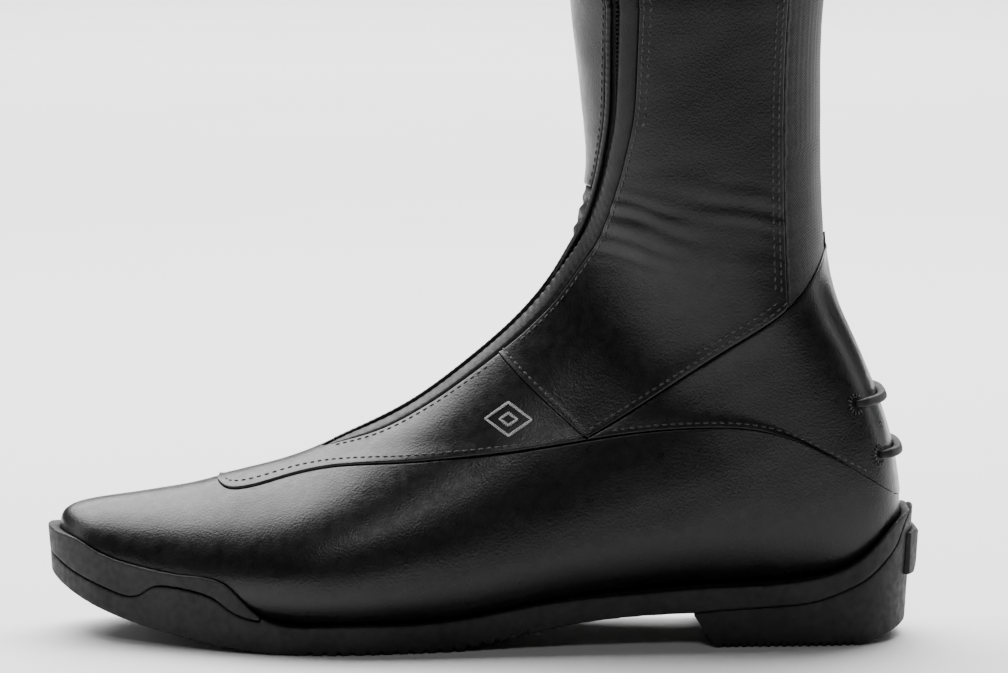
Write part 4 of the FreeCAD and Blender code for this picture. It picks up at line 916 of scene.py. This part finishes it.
def offset_seam(points, side, distance, trim=(0.0, 1.0)):
    """A line beside a seam, seen from the side: distance is upwards from a seam that runs backwards."""
    line = smooth_curve(points, 240)
    line = line[int(trim[0] * 240):int(trim[1] * 240)]
    tangent = unit(np.gradient(line, axis=0))
    line = line + distance * np.stack([-tangent[:, 1], tangent[:, 0]], 1)
    pairs = np.array([turn_at(x, z, side) for x, z in line])
    return pairs[:, 0], pairs[:, 1]


def along_turn(turn, side, mm, first, last, count=700):
    s = np.linspace(first, last, count)
    return s, turn(s) + mm / girth(s, side)


SHAFT_STITCH_TOP, GORE_STITCH_TOP = station_at(480.0), station_at(452.0)


def stitches_of_side(side, name):
    """Rows along the vamp's seam, the heel seam, the quarter's notch and the gore."""
    def beside(seam, distance, trim, onto):
        return stitch_row(*offset_seam(seam, side, distance, trim), onto + name)

    def along_gore(distance):
        line = along_turn(gore_turn[side], side, -side * distance, GORE_FOOT_S + 1.5, GORE_STITCH_TOP)
        return stitch_row(*line, "shaft_" + name)

    return [beside(VAMP_SEAM, 1.7, (0.015, 0.56), "quarter_"),
            beside(VAMP_SEAM, 1.7, (0.56, 0.93), "heel_quarter_"),
            beside(HEEL_SEAM[1:6], 2.0, (0.02, 0.88), "shaft_"),
            beside(HEEL_SEAM[1:6], 4.2, (0.5, 0.86), "shaft_"),
            beside(QUARTER_NOTCH[:4], 2.0, (0.06, 0.94), "shaft_"), along_gore(2.2), along_gore(4.4)]


def stitches_of_zip():
    """Rows up the zip's two edges and both sides of the shin seam."""
    band, top = -(GAP / 2 + BAND_WIDTH), SHAFT_STITCH_TOP
    rows = [(zip_turn, -1, band - 2.2, 34.0, top, "shaft_lateral", 0.0),
            (zip_turn, -1, band - 4.6, 100.0, top, "shaft_lateral", 0.55),
            (zip_turn, -1, GAP / 2 + PIPING_WIDTH + 2.0, GUSSET_TO + 1, top - 3, "shin_panel", 0.0),
            (outer_zip_edge, -1, -1.9, -20.0, 24.0, "quarter_lateral", 0.0),
            (inner_zip_edge, -1, 1.9, -18.0, 24.0, "quarter_medial", 0.0),
            (shin_seam, 1, -2.2, GUSSET_TO + 2, top - 22, "shin_panel", 0.0),
            (shin_seam, 1, 2.4, GUSSET_TO + 2, top - 22, "shaft_medial", 0.0)]
    return [stitch_row(*along_turn(turn, side, mm, first, last), onto, slant=slant)
            for turn, side, mm, first, last, onto, slant in rows]


def build_stitching():
    for side, name in SIDES:
        new_object("stitches_" + name, *join(stitches_of_side(side, name)), "thread_black")
    new_object("stitches_zip", *join(stitches_of_zip()), "thread_black")


# ---- small fittings ------------------------------------------------------------------------------
def around_mouth(turns):
    """Turns that may run on past the back, brought back to -1 to 1, and the top edge's station at each."""
    signed = (np.asarray(turns) + 1) % 2 - 1
    return signed, np.where(signed < 0, top_station(signed, -1), top_station(signed, 1))


def build_binding():
    """A folded leather edge round the mouth of the boot, with fine creases across it."""
    front, back = beside_zip(GAP / 2 + PIPING_WIDTH + 1.0), beside_zip(-GAP / 2 - 1.0)
    turns = np.linspace(front(ZIP_END), 2 + back(ZIP_END), 420)
    signed, top = around_mouth(turns)
    blend = np.exp(-((turns - 1) / 0.03) ** 2)
    top = top * (1 - blend) + np.interp(1.0, turns, top) * blend
    angle = np.linspace(0, 2 * np.pi, 25)[:-1]
    grid = []
    for k, a in enumerate(angle):
        across = -2.05 + 2.5 * np.sign(np.cos(a)) * abs(np.cos(a)) ** 0.75
        up = 2.2 + 1.95 * np.sign(np.sin(a)) * abs(np.sin(a)) ** 0.8
        pucker = 0.06 * np.sin(np.arange(len(turns)) * 1.9 + 2.0 * math.sin(k / 4))
        grid.append(surface(top + up, signed, across + pucker * np.sign(np.cos(a)))[0])
    sweep("top_binding", np.stack(grid, 1), "flex_leather", ("top_binding",))
    new_object("stitches_top", *stitch_row(top - 1.2, signed, height=0.3), "thread_black")


def fix_normals(obj):
    mesh = bmesh.new()
    mesh.from_mesh(obj.data)
    bmesh.ops.recalc_face_normals(mesh, faces=mesh.faces)
    mesh.to_mesh(obj.data)
    mesh.free()


def tab_outline(u):
    """The tab's half-height: straight, then round at its free end."""
    centre = TAB_END_U - TAB_HALF_HEIGHT
    end = np.sqrt(np.maximum(0.01, TAB_HALF_HEIGHT**2 - (u - centre) ** 2))
    return np.where(u < centre, TAB_HALF_HEIGHT, end)


def tab_plate(name, low, high, outline, body, bunched=False):
    """A flat piece of leather over the zip between two distances across it."""
    t = fractions(high - low, 0.8)
    u = low + (high - low) * ((np.sin((t - 0.5) * np.pi) + 1) / 2 if bunched else t)
    across = fractions(2 * TAB_HALF_HEIGHT, 0.8) * 2 - 1
    s = station_at(TAB_Z) + across[:, None] * outline(u)[None]
    grid_u = np.repeat(u[None], len(across), 0)
    middle = zip_point(s, grid_u, TAB[1])
    radii = 0.35, 0.4, 0.55, 0.55
    lift = sum(rounded(d, radius) for d, radius in zip(edge_distances(middle), radii))
    lift += ripple(middle, 9.0, 0.06, 31)
    points, faces = shell(zip_point(s, grid_u, TAB[1] + lift), zip_point(s, grid_u, TAB[0] - lift * 0.4))
    new_object(name, points, faces, "leather", body, replaces=(name,))


def stitches_on_tab(name, s, u, body):
    path = zip_point(s, u, TAB[1] + 0.1)
    threads = capsules(*resample(path, RUN_OUT[None].repeat(len(u), 0)), STITCH_LENGTH, STITCH_RADIUS)
    new_object(name, *threads, "thread_black", body)


def build_tab():
    """The tab over the zip, its sewn base, the fold between them, and the snap."""
    station, inset = station_at(TAB_Z), TAB_HALF_HEIGHT - TAB_INSET
    tab_plate("snap_tab", TAB_HINGE_U, TAB_END_U - 0.02, tab_outline, "snap_tab", bunched=True)
    tab_plate("snap_tab_base", TAB_HINGE_U - TAB_BASE_REACH, TAB_HINGE_U - FOLD_RADIUS - 0.35,
              lambda u: np.full(u.shape, TAB_HALF_HEIGHT), "boot")
    heights = np.linspace(-TAB_HALF_HEIGHT, TAB_HALF_HEIGHT, 30)[:, None]
    fold = zip_point(station, TAB_HINGE_U, TAB[1]) + RUN_ALONG * heights
    tube("snap_tab_fold", fold, FOLD_RADIUS, "leather", 16, "snap_tab")

    straight = np.linspace(TAB_HINGE_U + 2.0, TAB_END_U - TAB_HALF_HEIGHT, 60)
    arc = np.linspace(-np.pi / 2, np.pi / 2, 60)[1:-1]
    line_u = np.concatenate([straight, straight[-1] + inset * np.cos(arc), straight[::-1]])
    line_s = np.concatenate([np.full(60, -inset), inset * np.sin(arc), np.full(60, inset)])
    stitches_on_tab("stitches_tab", station + line_s, line_u, "snap_tab")
    stitches_on_tab("stitches_tab_base", station + np.linspace(-inset, inset, 40),
                    np.full(40, TAB_HINGE_U - 3.0), "boot")

    centre = zip_point(station, SNAP_U, 0.0)
    out = unit(zip_point(station, SNAP_U, 1.0) - centre)
    lathe("snap_cap", SNAP_CAP, centre + out * (TAB[1] + 0.1), out, "dark_metal", "snap_tab", ("snap_cap",))
    lathe("snap_stud", SNAP_STUD, centre + out * 0.15, out, "dark_metal", "boot", ("snap_stud",))


# radius and height of the snap's turned pieces
SNAP_CAP = [(0, 1.55), (1.6, 1.5), (3.2, 1.35), (3.7, 1.2), (4.0, 1.2), (4.4, 1.3), (5.0, 1.25), (5.6, 1.0),
            (5.95, 0.6), (6.0, 0.2), (5.9, 0.0), (0, 0.0)]
SNAP_STUD = [(0, 0.6), (2.2, 0.6), (2.8, 0.5), (3.4, 0.35), (3.6, 0.15), (3.6, 0.0), (0, 0.0)]


def lathe(name, profile, origin, axis, slot_name, body, replaces, around=48):
    """A turned piece: the profile gives radius and height along the axis."""
    side = unit(np.cross(axis, np.array([0.0, 0.2, 1.0])))
    other = np.cross(axis, side)
    angle = 2 * np.pi * np.arange(around) / around
    profile = np.array(profile, float)
    profile[:, 0] = np.maximum(profile[:, 0], 0.02)
    spin = side[None] * np.cos(angle)[:, None] + other[None] * np.sin(angle)[:, None]
    points = origin + profile[:, None, :1] * spin[None] + profile[:, None, 1:] * axis
    faces = round_faces(len(profile), around)
    fix_normals(new_object(name, points, faces, slot_name, body, replaces=replaces))


# ---- moulded parts, from the CAD part's own shapes ------------------------------------------------
def moulded(name, slot_name, voxel, relief=None, smooth=2, keep=1.0, body="boot", crisp_below=-1.0):
    """A moulded piece: the CAD shape with its edges softened and its surface worked."""
    obj = add_object(name + "_moulded", NODES[name].data.copy())
    remesh = obj.modifiers.new("remesh", "REMESH")
    remesh.mode = "VOXEL"
    remesh.voxel_size = voxel * MM
    bake(obj)
    soft = np.nonzero(vertex_values(obj, "co")[:, 2] > crisp_below * MM)[0]
    group = obj.vertex_groups.new(name="soft")
    group.add([int(k) for k in soft], 1.0, "REPLACE")
    soften = obj.modifiers.new("soften", "SMOOTH")
    soften.iterations = smooth
    soften.factor = 0.5
    soften.vertex_group = "soft"
    bake(obj)
    if relief is not None:
        work_surface(obj, relief)
    if keep < 1:
        thin = obj.modifiers.new("thin", "DECIMATE")
        thin.ratio = keep
        bake(obj)
    obj.data.polygons.foreach_set("use_smooth", np.ones(len(obj.data.polygons), bool))
    return finish_piece(obj, slot_name, body, (name,))


def bake(obj):
    """Applies the object's modifiers to its mesh."""
    bpy.context.view_layer.update()
    result = bpy.data.meshes.new_from_object(obj.evaluated_get(bpy.context.evaluated_depsgraph_get()))
    obj.modifiers.clear()
    obj.data = result


def vertex_values(obj, kind):
    values = np.zeros(len(obj.data.vertices) * 3)
    obj.data.vertices.foreach_get(kind, values)
    return values.reshape(-1, 3)


def place_vertices(obj, points):
    obj.data.vertices.foreach_set("co", points.astype(np.float32).ravel())
    obj.data.update()


def work_surface(obj, relief):
    """Moves each point along its normal by the relief, both in mm."""
    points, normals = vertex_values(obj, "co"), vertex_values(obj, "normal")
    place_vertices(obj, points + normals * relief(points / MM - SHIFT)[:, None] * MM)


# each strip's line seen from the side, from its slot to behind the heel
SPUR_STRIPS = {
    "spur_rest_upper": ((125.5, 82.0), (150.0, 83.0)),
    "spur_rest_lower": ((134.0, 64.4), (155.0, 64.0)),
}
STRIP_HEIGHT, STRIP_THICKNESS, STRIP_STANDOFF, STRIP_SLOT = 3.1, 3.0, 0.3, 3.5


def build_spur_rests():
    """Two rounded strips across the back of the heel, which come out of slots in the leather."""
    angle = np.linspace(0, 2 * np.pi, 29)[:-1]
    round_x = np.sign(np.cos(angle)) * np.abs(np.cos(angle)) ** 0.55
    round_y = np.sign(np.sin(angle)) * np.abs(np.sin(angle)) ** 0.55
    for name, ((x0, z0), (x1, z1)) in SPUR_STRIPS.items():
        pairs = []
        for side in (-1, 1):
            x = np.linspace(x0, 143.0, 160)
            half = np.array([turn_at(a, z0 + (z1 - z0) * (a - x0) / (x1 - x0), side) for a in x])
            half = half[np.abs(half[:, 1]) < 0.995]
            pairs.append(half if side < 0 else half[::-1])
        s = np.concatenate([pairs[0][:, 0], pairs[1][:, 0]])
        v = np.concatenate([pairs[0][:, 1], pairs[1][:, 1] - 2])
        base, _ = surface(s, v)
        length = running_length(base)
        even = np.linspace(0, length[-1], 200)
        s, v = np.interp(even, length, s), np.interp(even, length, v)
        end = np.clip(np.minimum(even, length[-1] - even) / STRIP_SLOT, 0, 1)
        rise = STRIP_STANDOFF + STRIP_THICKNESS / 2 - 2.2 * (1 - np.sin(end * np.pi / 2))
        path, normal = surface(s, v, rise)
        up = np.cross(unit(np.gradient(path, axis=0)), normal)
        ring = path[:, None] + normal[:, None] * (round_y * STRIP_THICKNESS / 2)[None, :, None] \
            + up[:, None] * (round_x * STRIP_HEIGHT / 2)[None, :, None]
        sweep(name + "_strip", ring, "rubber", (name,))
        new_object(name + "_slots", *join([slot_patch(s[k], v[k]) for k in (0, -1)]), "thread_black")


def slot_patch(s, v):
    """A short fan of stitches round the end of a strip."""
    centre, normal = surface(s, v, 0.25)
    up = unit(np.array([0.0, 0.0, 1.0]) - normal * normal[2])
    along = np.cross(up, normal)
    turn = np.linspace(-2.2, 2.2, 11) + (0 if along[0] < 0 else np.pi)
    spokes = along * np.cos(turn)[:, None] + up * np.sin(turn)[:, None]
    places = centre + spokes * 2.9
    out = np.repeat(normal[None], len(turn), 0)
    return capsules(places, spokes, out, 1.5, 0.24)


def sweep(name, ring, slot_name, replaces=()):
    """A closed solid from rings of points along a path, with flat ends."""
    rows, around = ring.shape[:2]
    half = np.arange(0, around // 2 - 1)
    caps = np.stack([half, half + 1, around - 2 - half, around - 1 - half], 1)
    last = caps[:, ::-1] + (rows - 1) * around
    faces = np.concatenate([round_faces(rows, around)[:, ::-1], caps, last])
    fix_normals(new_object(name, ring.reshape(-1, 3), faces, slot_name, replaces=replaces))


def rubber_relief(place):
    return ripple(place, 22.0, 0.05, 41)


def lower_toe_rim(obj):
    """Lets the rim dip in front of the toe, so that the leather shows over it."""
    points = vertex_values(obj, "co")
    place = points / MM - SHIFT
    high = np.clip((place[:, 2] - 26.0) / 12.0, 0, 1)
    points[:, 2] -= 2.6 * MM * eased((-134.0 - place[:, 0]) / 12.0) * high
    place_vertices(obj, points)


def build_moulded():
    moulded("outsole", "rubber", 0.5, rubber_relief, smooth=8, keep=0.3, crisp_below=7.0)
    lower_toe_rim(moulded("toe_bumper", "rubber", 0.45, rubber_relief, smooth=8, keep=0.4))
    moulded("heel_block", "rubber", 0.42, rubber_relief, smooth=8, keep=0.4, crisp_below=4.0)
    moulded("heel_spur_ledge", "rubber", 0.3, smooth=3)
    build_spur_rests()
    moulded("zip_slider", "dark_metal", 0.22, smooth=2, body="zip_slider")
    moulded("zip_pull", "dark_metal", 0.24, smooth=3, body="zip_pull")
    footbed = moulded("footbed", "footbed", 0.9, lambda place: ripple(place, 30.0, 0.2, 51), smooth=4,
                      keep=0.7)


def build_zip():
    strip_on_zip("zip_piping", (GAP / 2, GAP / 2 + PIPING_WIDTH), (-THICKNESS, 0.6), PIPING_START,
                 lambda turns: top_station(turns, 1), "leather", step=0.22, count=700, edge=0.75,
                 relief=lambda along: 0.05 * np.sin(along * 2 * np.pi / 2.3))
    for side, name in SIDES:
        reach = sorted((side * TAPE_EDGE, side * TAPE_REACH))
        strip_on_zip("zip_tape_" + name, reach, TAPE, ZIP_START_S, ZIP_END, "zip_tape", edge=0.12)
        coil(side, name)
    strip_on_zip("zip_guard", (-GUARD_REACH, GUARD_REACH), GUARD, GUARD_START, ZIP_END, "lining", step=1.2,
                 relief=lambda along: 0.15 * np.sin(along / 11.0))


def build_lining():
    """The lining up the leg, open along the zip, with soft waves in it."""
    front, back = beside_zip(8.6), beside_zip(-8.6)
    panel("lining_shaft", front, lambda s: 2 + back(s), 60.0, lambda turns: around_mouth(turns)[1] - 0.2,
          slot_name="lining", level=-3.25, thickness=1.1, padding=0.25, step=3.0, edge=0.2,
          replaces=("lining_shaft",))


# ---- materials -----------------------------------------------------------------------------------
MATERIALS = {}


class Finish:
    """A procedural node material built step by step, kept in MATERIALS."""

    def __init__(self, name, colour, roughness, **values):
        self.material = MATERIALS[name] = bpy.data.materials.new(name)
        self.material.use_nodes = True
        self.nodes, self.links = self.material.node_tree.nodes, self.material.node_tree.links
        self.shader = self.nodes["Principled BSDF"]
        self.shader.inputs["Base Color"].default_value = (*colour, 1)
        self.shader.inputs["Roughness"].default_value = roughness
        for key, value in values.items():
            self.shader.inputs[key.replace("_", " ")].default_value = value
        self.place = self.nodes.new("ShaderNodeTexCoord")
        self.last_bump = None

    def texture(self, kind, scale, stretch=None, source="Object", **values):
        node = self.nodes.new("ShaderNodeTex" + kind)
        node.inputs["Scale"].default_value = scale
        for key, value in values.items():
            if hasattr(node, key):
                setattr(node, key, value)
            else:
                node.inputs[key.replace("_", " ")].default_value = value
        vector = self.place.outputs[source]
        if stretch:
            mapping = self.nodes.new("ShaderNodeMapping")
            mapping.inputs["Scale"].default_value = stretch
            self.links.new(vector, mapping.inputs["Vector"])
            vector = mapping.outputs["Vector"]
        self.links.new(vector, node.inputs["Vector"])
        return node

    def bump(self, node, strength, distance):
        """Adds bumps, with their depth in mm, over those that are there."""
        bump = self.nodes.new("ShaderNodeBump")
        bump.inputs["Strength"].default_value = strength
        bump.inputs["Distance"].default_value = distance * MM
        self.links.new(node.outputs[0], bump.inputs["Height"])
        if self.last_bump:
            self.links.new(self.last_bump.outputs["Normal"], bump.inputs["Normal"])
        self.links.new(bump.outputs["Normal"], self.shader.inputs["Normal"])
        self.last_bump = bump

    def spread(self, node, socket, low, high, start=0.3, stop=0.7):
        """Drives a shader value between low and high with a texture."""
        spread = self.nodes.new("ShaderNodeMapRange")
        spread.inputs["From Min"].default_value = start
        spread.inputs["From Max"].default_value = stop
        spread.inputs["To Min"].default_value = low
        spread.inputs["To Max"].default_value = high
        self.links.new(node.outputs[0], spread.inputs["Value"])
        self.links.new(spread.outputs["Result"], self.shader.inputs[socket])

    def tint(self, node, dark, light, start=0.35, stop=0.65):
        """Drives the colour between two shades with a texture."""
        ramp = self.nodes.new("ShaderNodeValToRGB")
        ramp.color_ramp.elements[0].position = start
        ramp.color_ramp.elements[0].color = (*dark, 1)
        ramp.color_ramp.elements[1].position = stop
        ramp.color_ramp.elements[1].color = (*light, 1)
        self.links.new(node.outputs[0], ramp.inputs["Fac"])
        self.links.new(ramp.outputs["Color"], self.shader.inputs["Base Color"])


def make_leather(name, dark, light, rough, grain, coat):
    """Leather with clouds of shade, fine grain and a little gloss."""
    f = Finish(name, light, rough[0], Coat_Weight=coat, Coat_Roughness=0.3, Specular_IOR_Level=0.3)
    clouds = f.texture("Noise", 38.0, Detail=4.0)
    f.tint(clouds, dark, light)
    f.spread(f.texture("Noise", 300.0, Detail=3.0), "Roughness", *rough)
    f.bump(f.texture("Noise", 110.0, Detail=2.0), 0.12, 0.25)
    f.bump(f.texture("Voronoi", grain, feature="SMOOTH_F1", Smoothness=0.5), 0.34, 0.16)
    f.bump(f.texture("Noise", grain * 1.6, Detail=2.0), 0.22, 0.05)


def make_elastic():
    f = Finish("elastic", (0.01, 0.01, 0.0105), 0.85, Sheen_Weight=0.25, Sheen_Roughness=0.5,
               Specular_IOR_Level=0.3)
    f.tint(f.texture("Noise", 900.0, Detail=2.0), (0.006, 0.006, 0.0065), (0.018, 0.0175, 0.018))
    f.bump(f.texture("Wave", 0.32, source="UV", stretch=(0.0, 1.0, 1.0), bands_direction="Y",
                     Distortion=0.4, Detail=1.0), 0.5, 0.12)
    f.bump(f.texture("Noise", 2600.0, Detail=3.0), 0.6, 0.12)


def make_rubber():
    f = Finish("rubber", (0.019, 0.017, 0.0185), 0.62, Specular_IOR_Level=0.3)
    f.tint(f.texture("Noise", 60.0, Detail=5.0), (0.009, 0.0082, 0.0088), (0.016, 0.0145, 0.0157))
    f.spread(f.texture("Noise", 420.0, Detail=4.0), "Roughness", 0.52, 0.74)
    f.bump(f.texture("Noise", 1900.0, Detail=5.0, Roughness=0.65), 0.45, 0.09)
    f.bump(f.texture("Noise", 70.0, Detail=2.0), 0.25, 0.3)


def make_lining():
    f = Finish("lining", (0.03, 0.028, 0.028), 0.75, Sheen_Weight=0.15)
    f.tint(f.texture("Noise", 90.0, Detail=5.0), (0.02, 0.0185, 0.0185), (0.036, 0.034, 0.033))
    f.bump(f.texture("Voronoi", 700.0, feature="SMOOTH_F1", Smoothness=0.5), 0.5, 0.14)
    f.bump(f.texture("Noise", 2100.0, Detail=4.0), 0.4, 0.08)


def make_footbed():
    f = Finish("footbed", (0.04, 0.04, 0.042), 0.9, Sheen_Weight=0.4)
    f.tint(f.texture("Voronoi", 900.0, Randomness=0.15), (0.028, 0.028, 0.03), (0.06, 0.06, 0.063),
           start=0.1, stop=0.6)
    f.bump(f.texture("Voronoi", 900.0, Randomness=0.15), 0.7, 0.25)


def make_stiffener():
    f = Finish("stiffener", (0.25, 0.22, 0.18), 0.7)
    f.tint(f.texture("Noise", 260.0, Detail=6.0), (0.19, 0.165, 0.13), (0.3, 0.265, 0.22))
    f.bump(f.texture("Noise", 1200.0, Detail=4.0), 0.5, 0.15)


def make_steel():
    f = Finish("steel", (0.5, 0.5, 0.51), 0.3, Metallic=1.0)
    f.spread(f.texture("Noise", 700.0, stretch=(0.04, 1.0, 1.0), Detail=4.0), "Roughness", 0.22, 0.42)
    f.bump(f.texture("Noise", 1400.0, stretch=(0.04, 1.0, 1.0), Detail=3.0), 0.2, 0.03)


def make_zip_tape():
    f = Finish("zip_tape", (0.012, 0.012, 0.0125), 0.85, Sheen_Weight=0.2)
    f.tint(f.texture("Checker", 1.4, source="UV"), (0.007, 0.007, 0.0075), (0.017, 0.017, 0.0175),
           start=0.0, stop=1.0)
    f.bump(f.texture("Wave", 0.5, source="UV", bands_direction="DIAGONAL"), 0.6, 0.1)


def make_zip_coil():
    f = Finish("zip_coil", (0.016, 0.016, 0.017), 0.35, Specular_IOR_Level=0.5)
    f.spread(f.texture("Noise", 500.0, Detail=3.0), "Roughness", 0.28, 0.45)
    f.bump(f.texture("Noise", 2500.0, Detail=2.0), 0.2, 0.03)


def make_dark_metal():
    f = Finish("dark_metal", (0.055, 0.055, 0.058), 0.3, Metallic=0.9)
    f.spread(f.texture("Noise", 260.0, Detail=5.0), "Roughness", 0.24, 0.42)
    f.tint(f.texture("Noise", 90.0, Detail=3.0), (0.045, 0.045, 0.048), (0.07, 0.07, 0.073))
    f.bump(f.texture("Noise", 900.0, Detail=4.0), 0.15, 0.05)


def make_threads():
    for name, dark, light in (("thread_black", (0.006, 0.006, 0.0062), (0.013, 0.013, 0.0135)),
                              ("thread_grey", (0.3, 0.3, 0.31), (0.5, 0.5, 0.51))):
        f = Finish(name, light, 0.55, Sheen_Weight=0.3, Specular_IOR_Level=0.45)
        f.tint(f.texture("Noise", 2200.0, Detail=2.0), dark, light)
        f.bump(f.texture("Wave", 1500.0, bands_direction="DIAGONAL"), 0.5, 0.08)


def make_materials():
    make_leather("leather", (0.0042, 0.0041, 0.0043), (0.0068, 0.0066, 0.0068), (0.27, 0.38), 1250.0, 0.04)
    make_leather("flex_leather", (0.005, 0.0049, 0.0051), (0.0095, 0.0092, 0.0095), (0.42, 0.58), 1500.0, 0.0)
    for make in (make_elastic, make_rubber, make_lining, make_footbed, make_stiffener, make_steel, make_zip_tape,
                 make_zip_coil, make_dark_metal, make_threads):
        make()


# ---- embroidery ----------------------------------------------------------------------------------
BADGE_X, BADGE_Z, BADGE_HALF = 9.0, 77.0, 6.2


def build_badge():
    """A small plain lozenge in satin stitch on the outer quarter."""
    rows = []
    for ring, count in ((1.0, 17), (0.38, 6)):
        corners = np.array([(-1.25, 0.0), (0.0, 0.85), (1.25, 0.0), (0.0, -0.85)]) * BADGE_HALF * ring
        for k in range(4):
            start, end = corners[k], corners[(k + 1) % 4]
            centres = start + (end - start) * (np.arange(count) + 0.5)[:, None] / count
            for x, z in centres:
                s, v = turn_at(BADGE_X + x, BADGE_Z + z, -1)
                rows.append((s, v, x, z))
    table = np.array(rows)
    centre, normal = surface(table[:, 0], table[:, 1], 0.3)
    radial = np.stack([table[:, 2], np.zeros(len(table)), table[:, 3]], 1)
    radial = unit(radial - normal * np.sum(radial * normal, 1, keepdims=True))
    centre, normal, _ = on_panel("quarter_lateral", centre, normal)
    points, faces = capsules(centre, radial, normal, 1.3, 0.26)
    new_object("badge_embroidery", points, faces, "thread_grey")


# ---- the stage -----------------------------------------------------------------------------------
CAMERA_TARGET = Vector(((7.5 + SHIFT[0]) * MM, 0.0, 0.1015))
CAMERA_DISTANCE, CAMERA_ELEVATION, VIEW_WIDTH, SENSOR_WIDTH = 1.5, math.radians(7.0), 0.3437, 36.0
FLOOR_RINGS, FLOOR_SIDES = (0.5, 2.0, 5.0, 11.0), 96


def build_stage():
    """A wide pale floor, seen from all sides against a white room."""
    angle = 2 * np.pi * np.arange(FLOOR_SIDES) / FLOOR_SIDES
    points = [(0.0, 0.0, 0.0)]
    points += [(radius * math.cos(a), radius * math.sin(a), 0.0) for radius in FLOOR_RINGS for a in angle]
    faces = [(0, 1 + k, 1 + (k + 1) % FLOOR_SIDES) for k in range(FLOOR_SIDES)]
    faces += [tuple(int(k) + 1 for k in face[::-1]) for face in round_faces(len(FLOOR_RINGS), FLOOR_SIDES)]
    mesh = bpy.data.meshes.new("floor")
    mesh.from_pydata(points, [], faces)
    floor = add_object("floor", mesh)
    f = Finish("pale_floor", (0.88, 0.88, 0.88), 0.6)
    f.tint(f.texture("Noise", 3.0, Detail=4.0), (0.87, 0.87, 0.87), (0.89, 0.89, 0.89))
    f.bump(f.texture("Noise", 500.0, Detail=3.0), 0.1, 0.1)
    floor.data.materials.append(f.material)


def softbox(name, place, target, size, power):
    light = bpy.data.lights.new(name, "AREA")
    light.shape, light.size, light.size_y, light.energy = "RECTANGLE", size[0], size[1], power
    obj = add_object(name, light)
    obj.location = place
    obj.rotation_euler = (Vector(target) - Vector(place)).to_track_quat("-Z", "Y").to_euler()
    obj.visible_camera = False


def build_light():
    """A white studio behind the boot and a dim one in front of it, so that black leather stays black."""
    world = bpy.data.worlds.new("studio")
    bpy.context.scene.world = world
    world.use_nodes = True
    nodes, links = world.node_tree.nodes, world.node_tree.links
    dim, seen = nodes["Background"], nodes.new("ShaderNodeBackground")
    for shade, strength in ((dim, 0.02), (seen, 5.0)):
        shade.inputs["Color"].default_value = (1, 1, 1, 1)
        shade.inputs["Strength"].default_value = strength
    choice, rays = nodes.new("ShaderNodeMixShader"), nodes.new("ShaderNodeLightPath")
    links.new(rays.outputs["Is Camera Ray"], choice.inputs[0])
    links.new(dim.outputs[0], choice.inputs[1])
    links.new(seen.outputs[0], choice.inputs[2])
    links.new(choice.outputs[0], nodes["World Output"].inputs["Surface"])
    softbox("overhead", (-0.15, 0.6, 1.5), (-0.05, 0, 0.1), (2.2, 0.9), 62)
    softbox("far_floor", (0.0, 3.6, 2.6), (0.0, 3.6, 0.0), (6.0, 4.5), 620)
    softbox("side_left", (-1.5, 0.25, 0.7), (0, 0, 0.25), (0.5, 1.4), 5)
    softbox("side_right", (1.6, 0.5, 0.7), (0.05, 0, 0.2), (0.4, 1.4), 4)
    softbox("front_key", (-0.05, -1.25, 1.35), (0, 0, 0.05), (0.55, 0.35), 4)


def build_camera():
    camera = bpy.data.cameras.new("camera")
    camera.sensor_width = SENSOR_WIDTH
    camera.lens = CAMERA_DISTANCE * SENSOR_WIDTH / VIEW_WIDTH
    obj = add_object("camera", camera)
    away = Vector((0, -math.cos(CAMERA_ELEVATION), math.sin(CAMERA_ELEVATION)))
    obj.location = CAMERA_TARGET + away * CAMERA_DISTANCE
    obj.rotation_euler = (-away).to_track_quat("-Z", "Y").to_euler()
    camera.clip_end = 20
    bpy.context.scene.camera = obj


def build_hidden():
    """The pieces inside keep the CAD part's shapes, each in its own material."""
    for name, slot_name in (("toe_puff", "stiffener"), ("heel_counter", "stiffener"),
                            ("insole_board", "stiffener"), ("steel_shank", "steel"),
                            ("lining_foot", "lining"), ("zip_stops", "dark_metal")):
        node = NODES[name]
        node.data.materials.clear()
        node.data.materials.append(MATERIALS[slot_name])


make_materials()
build_upper()
build_zip()
build_lining()
build_binding()
build_tab()
build_stitching()
build_badge()
build_moulded()
build_hidden()
build_stage()
build_light()
build_camera()
bpy.context.view_layer.update()
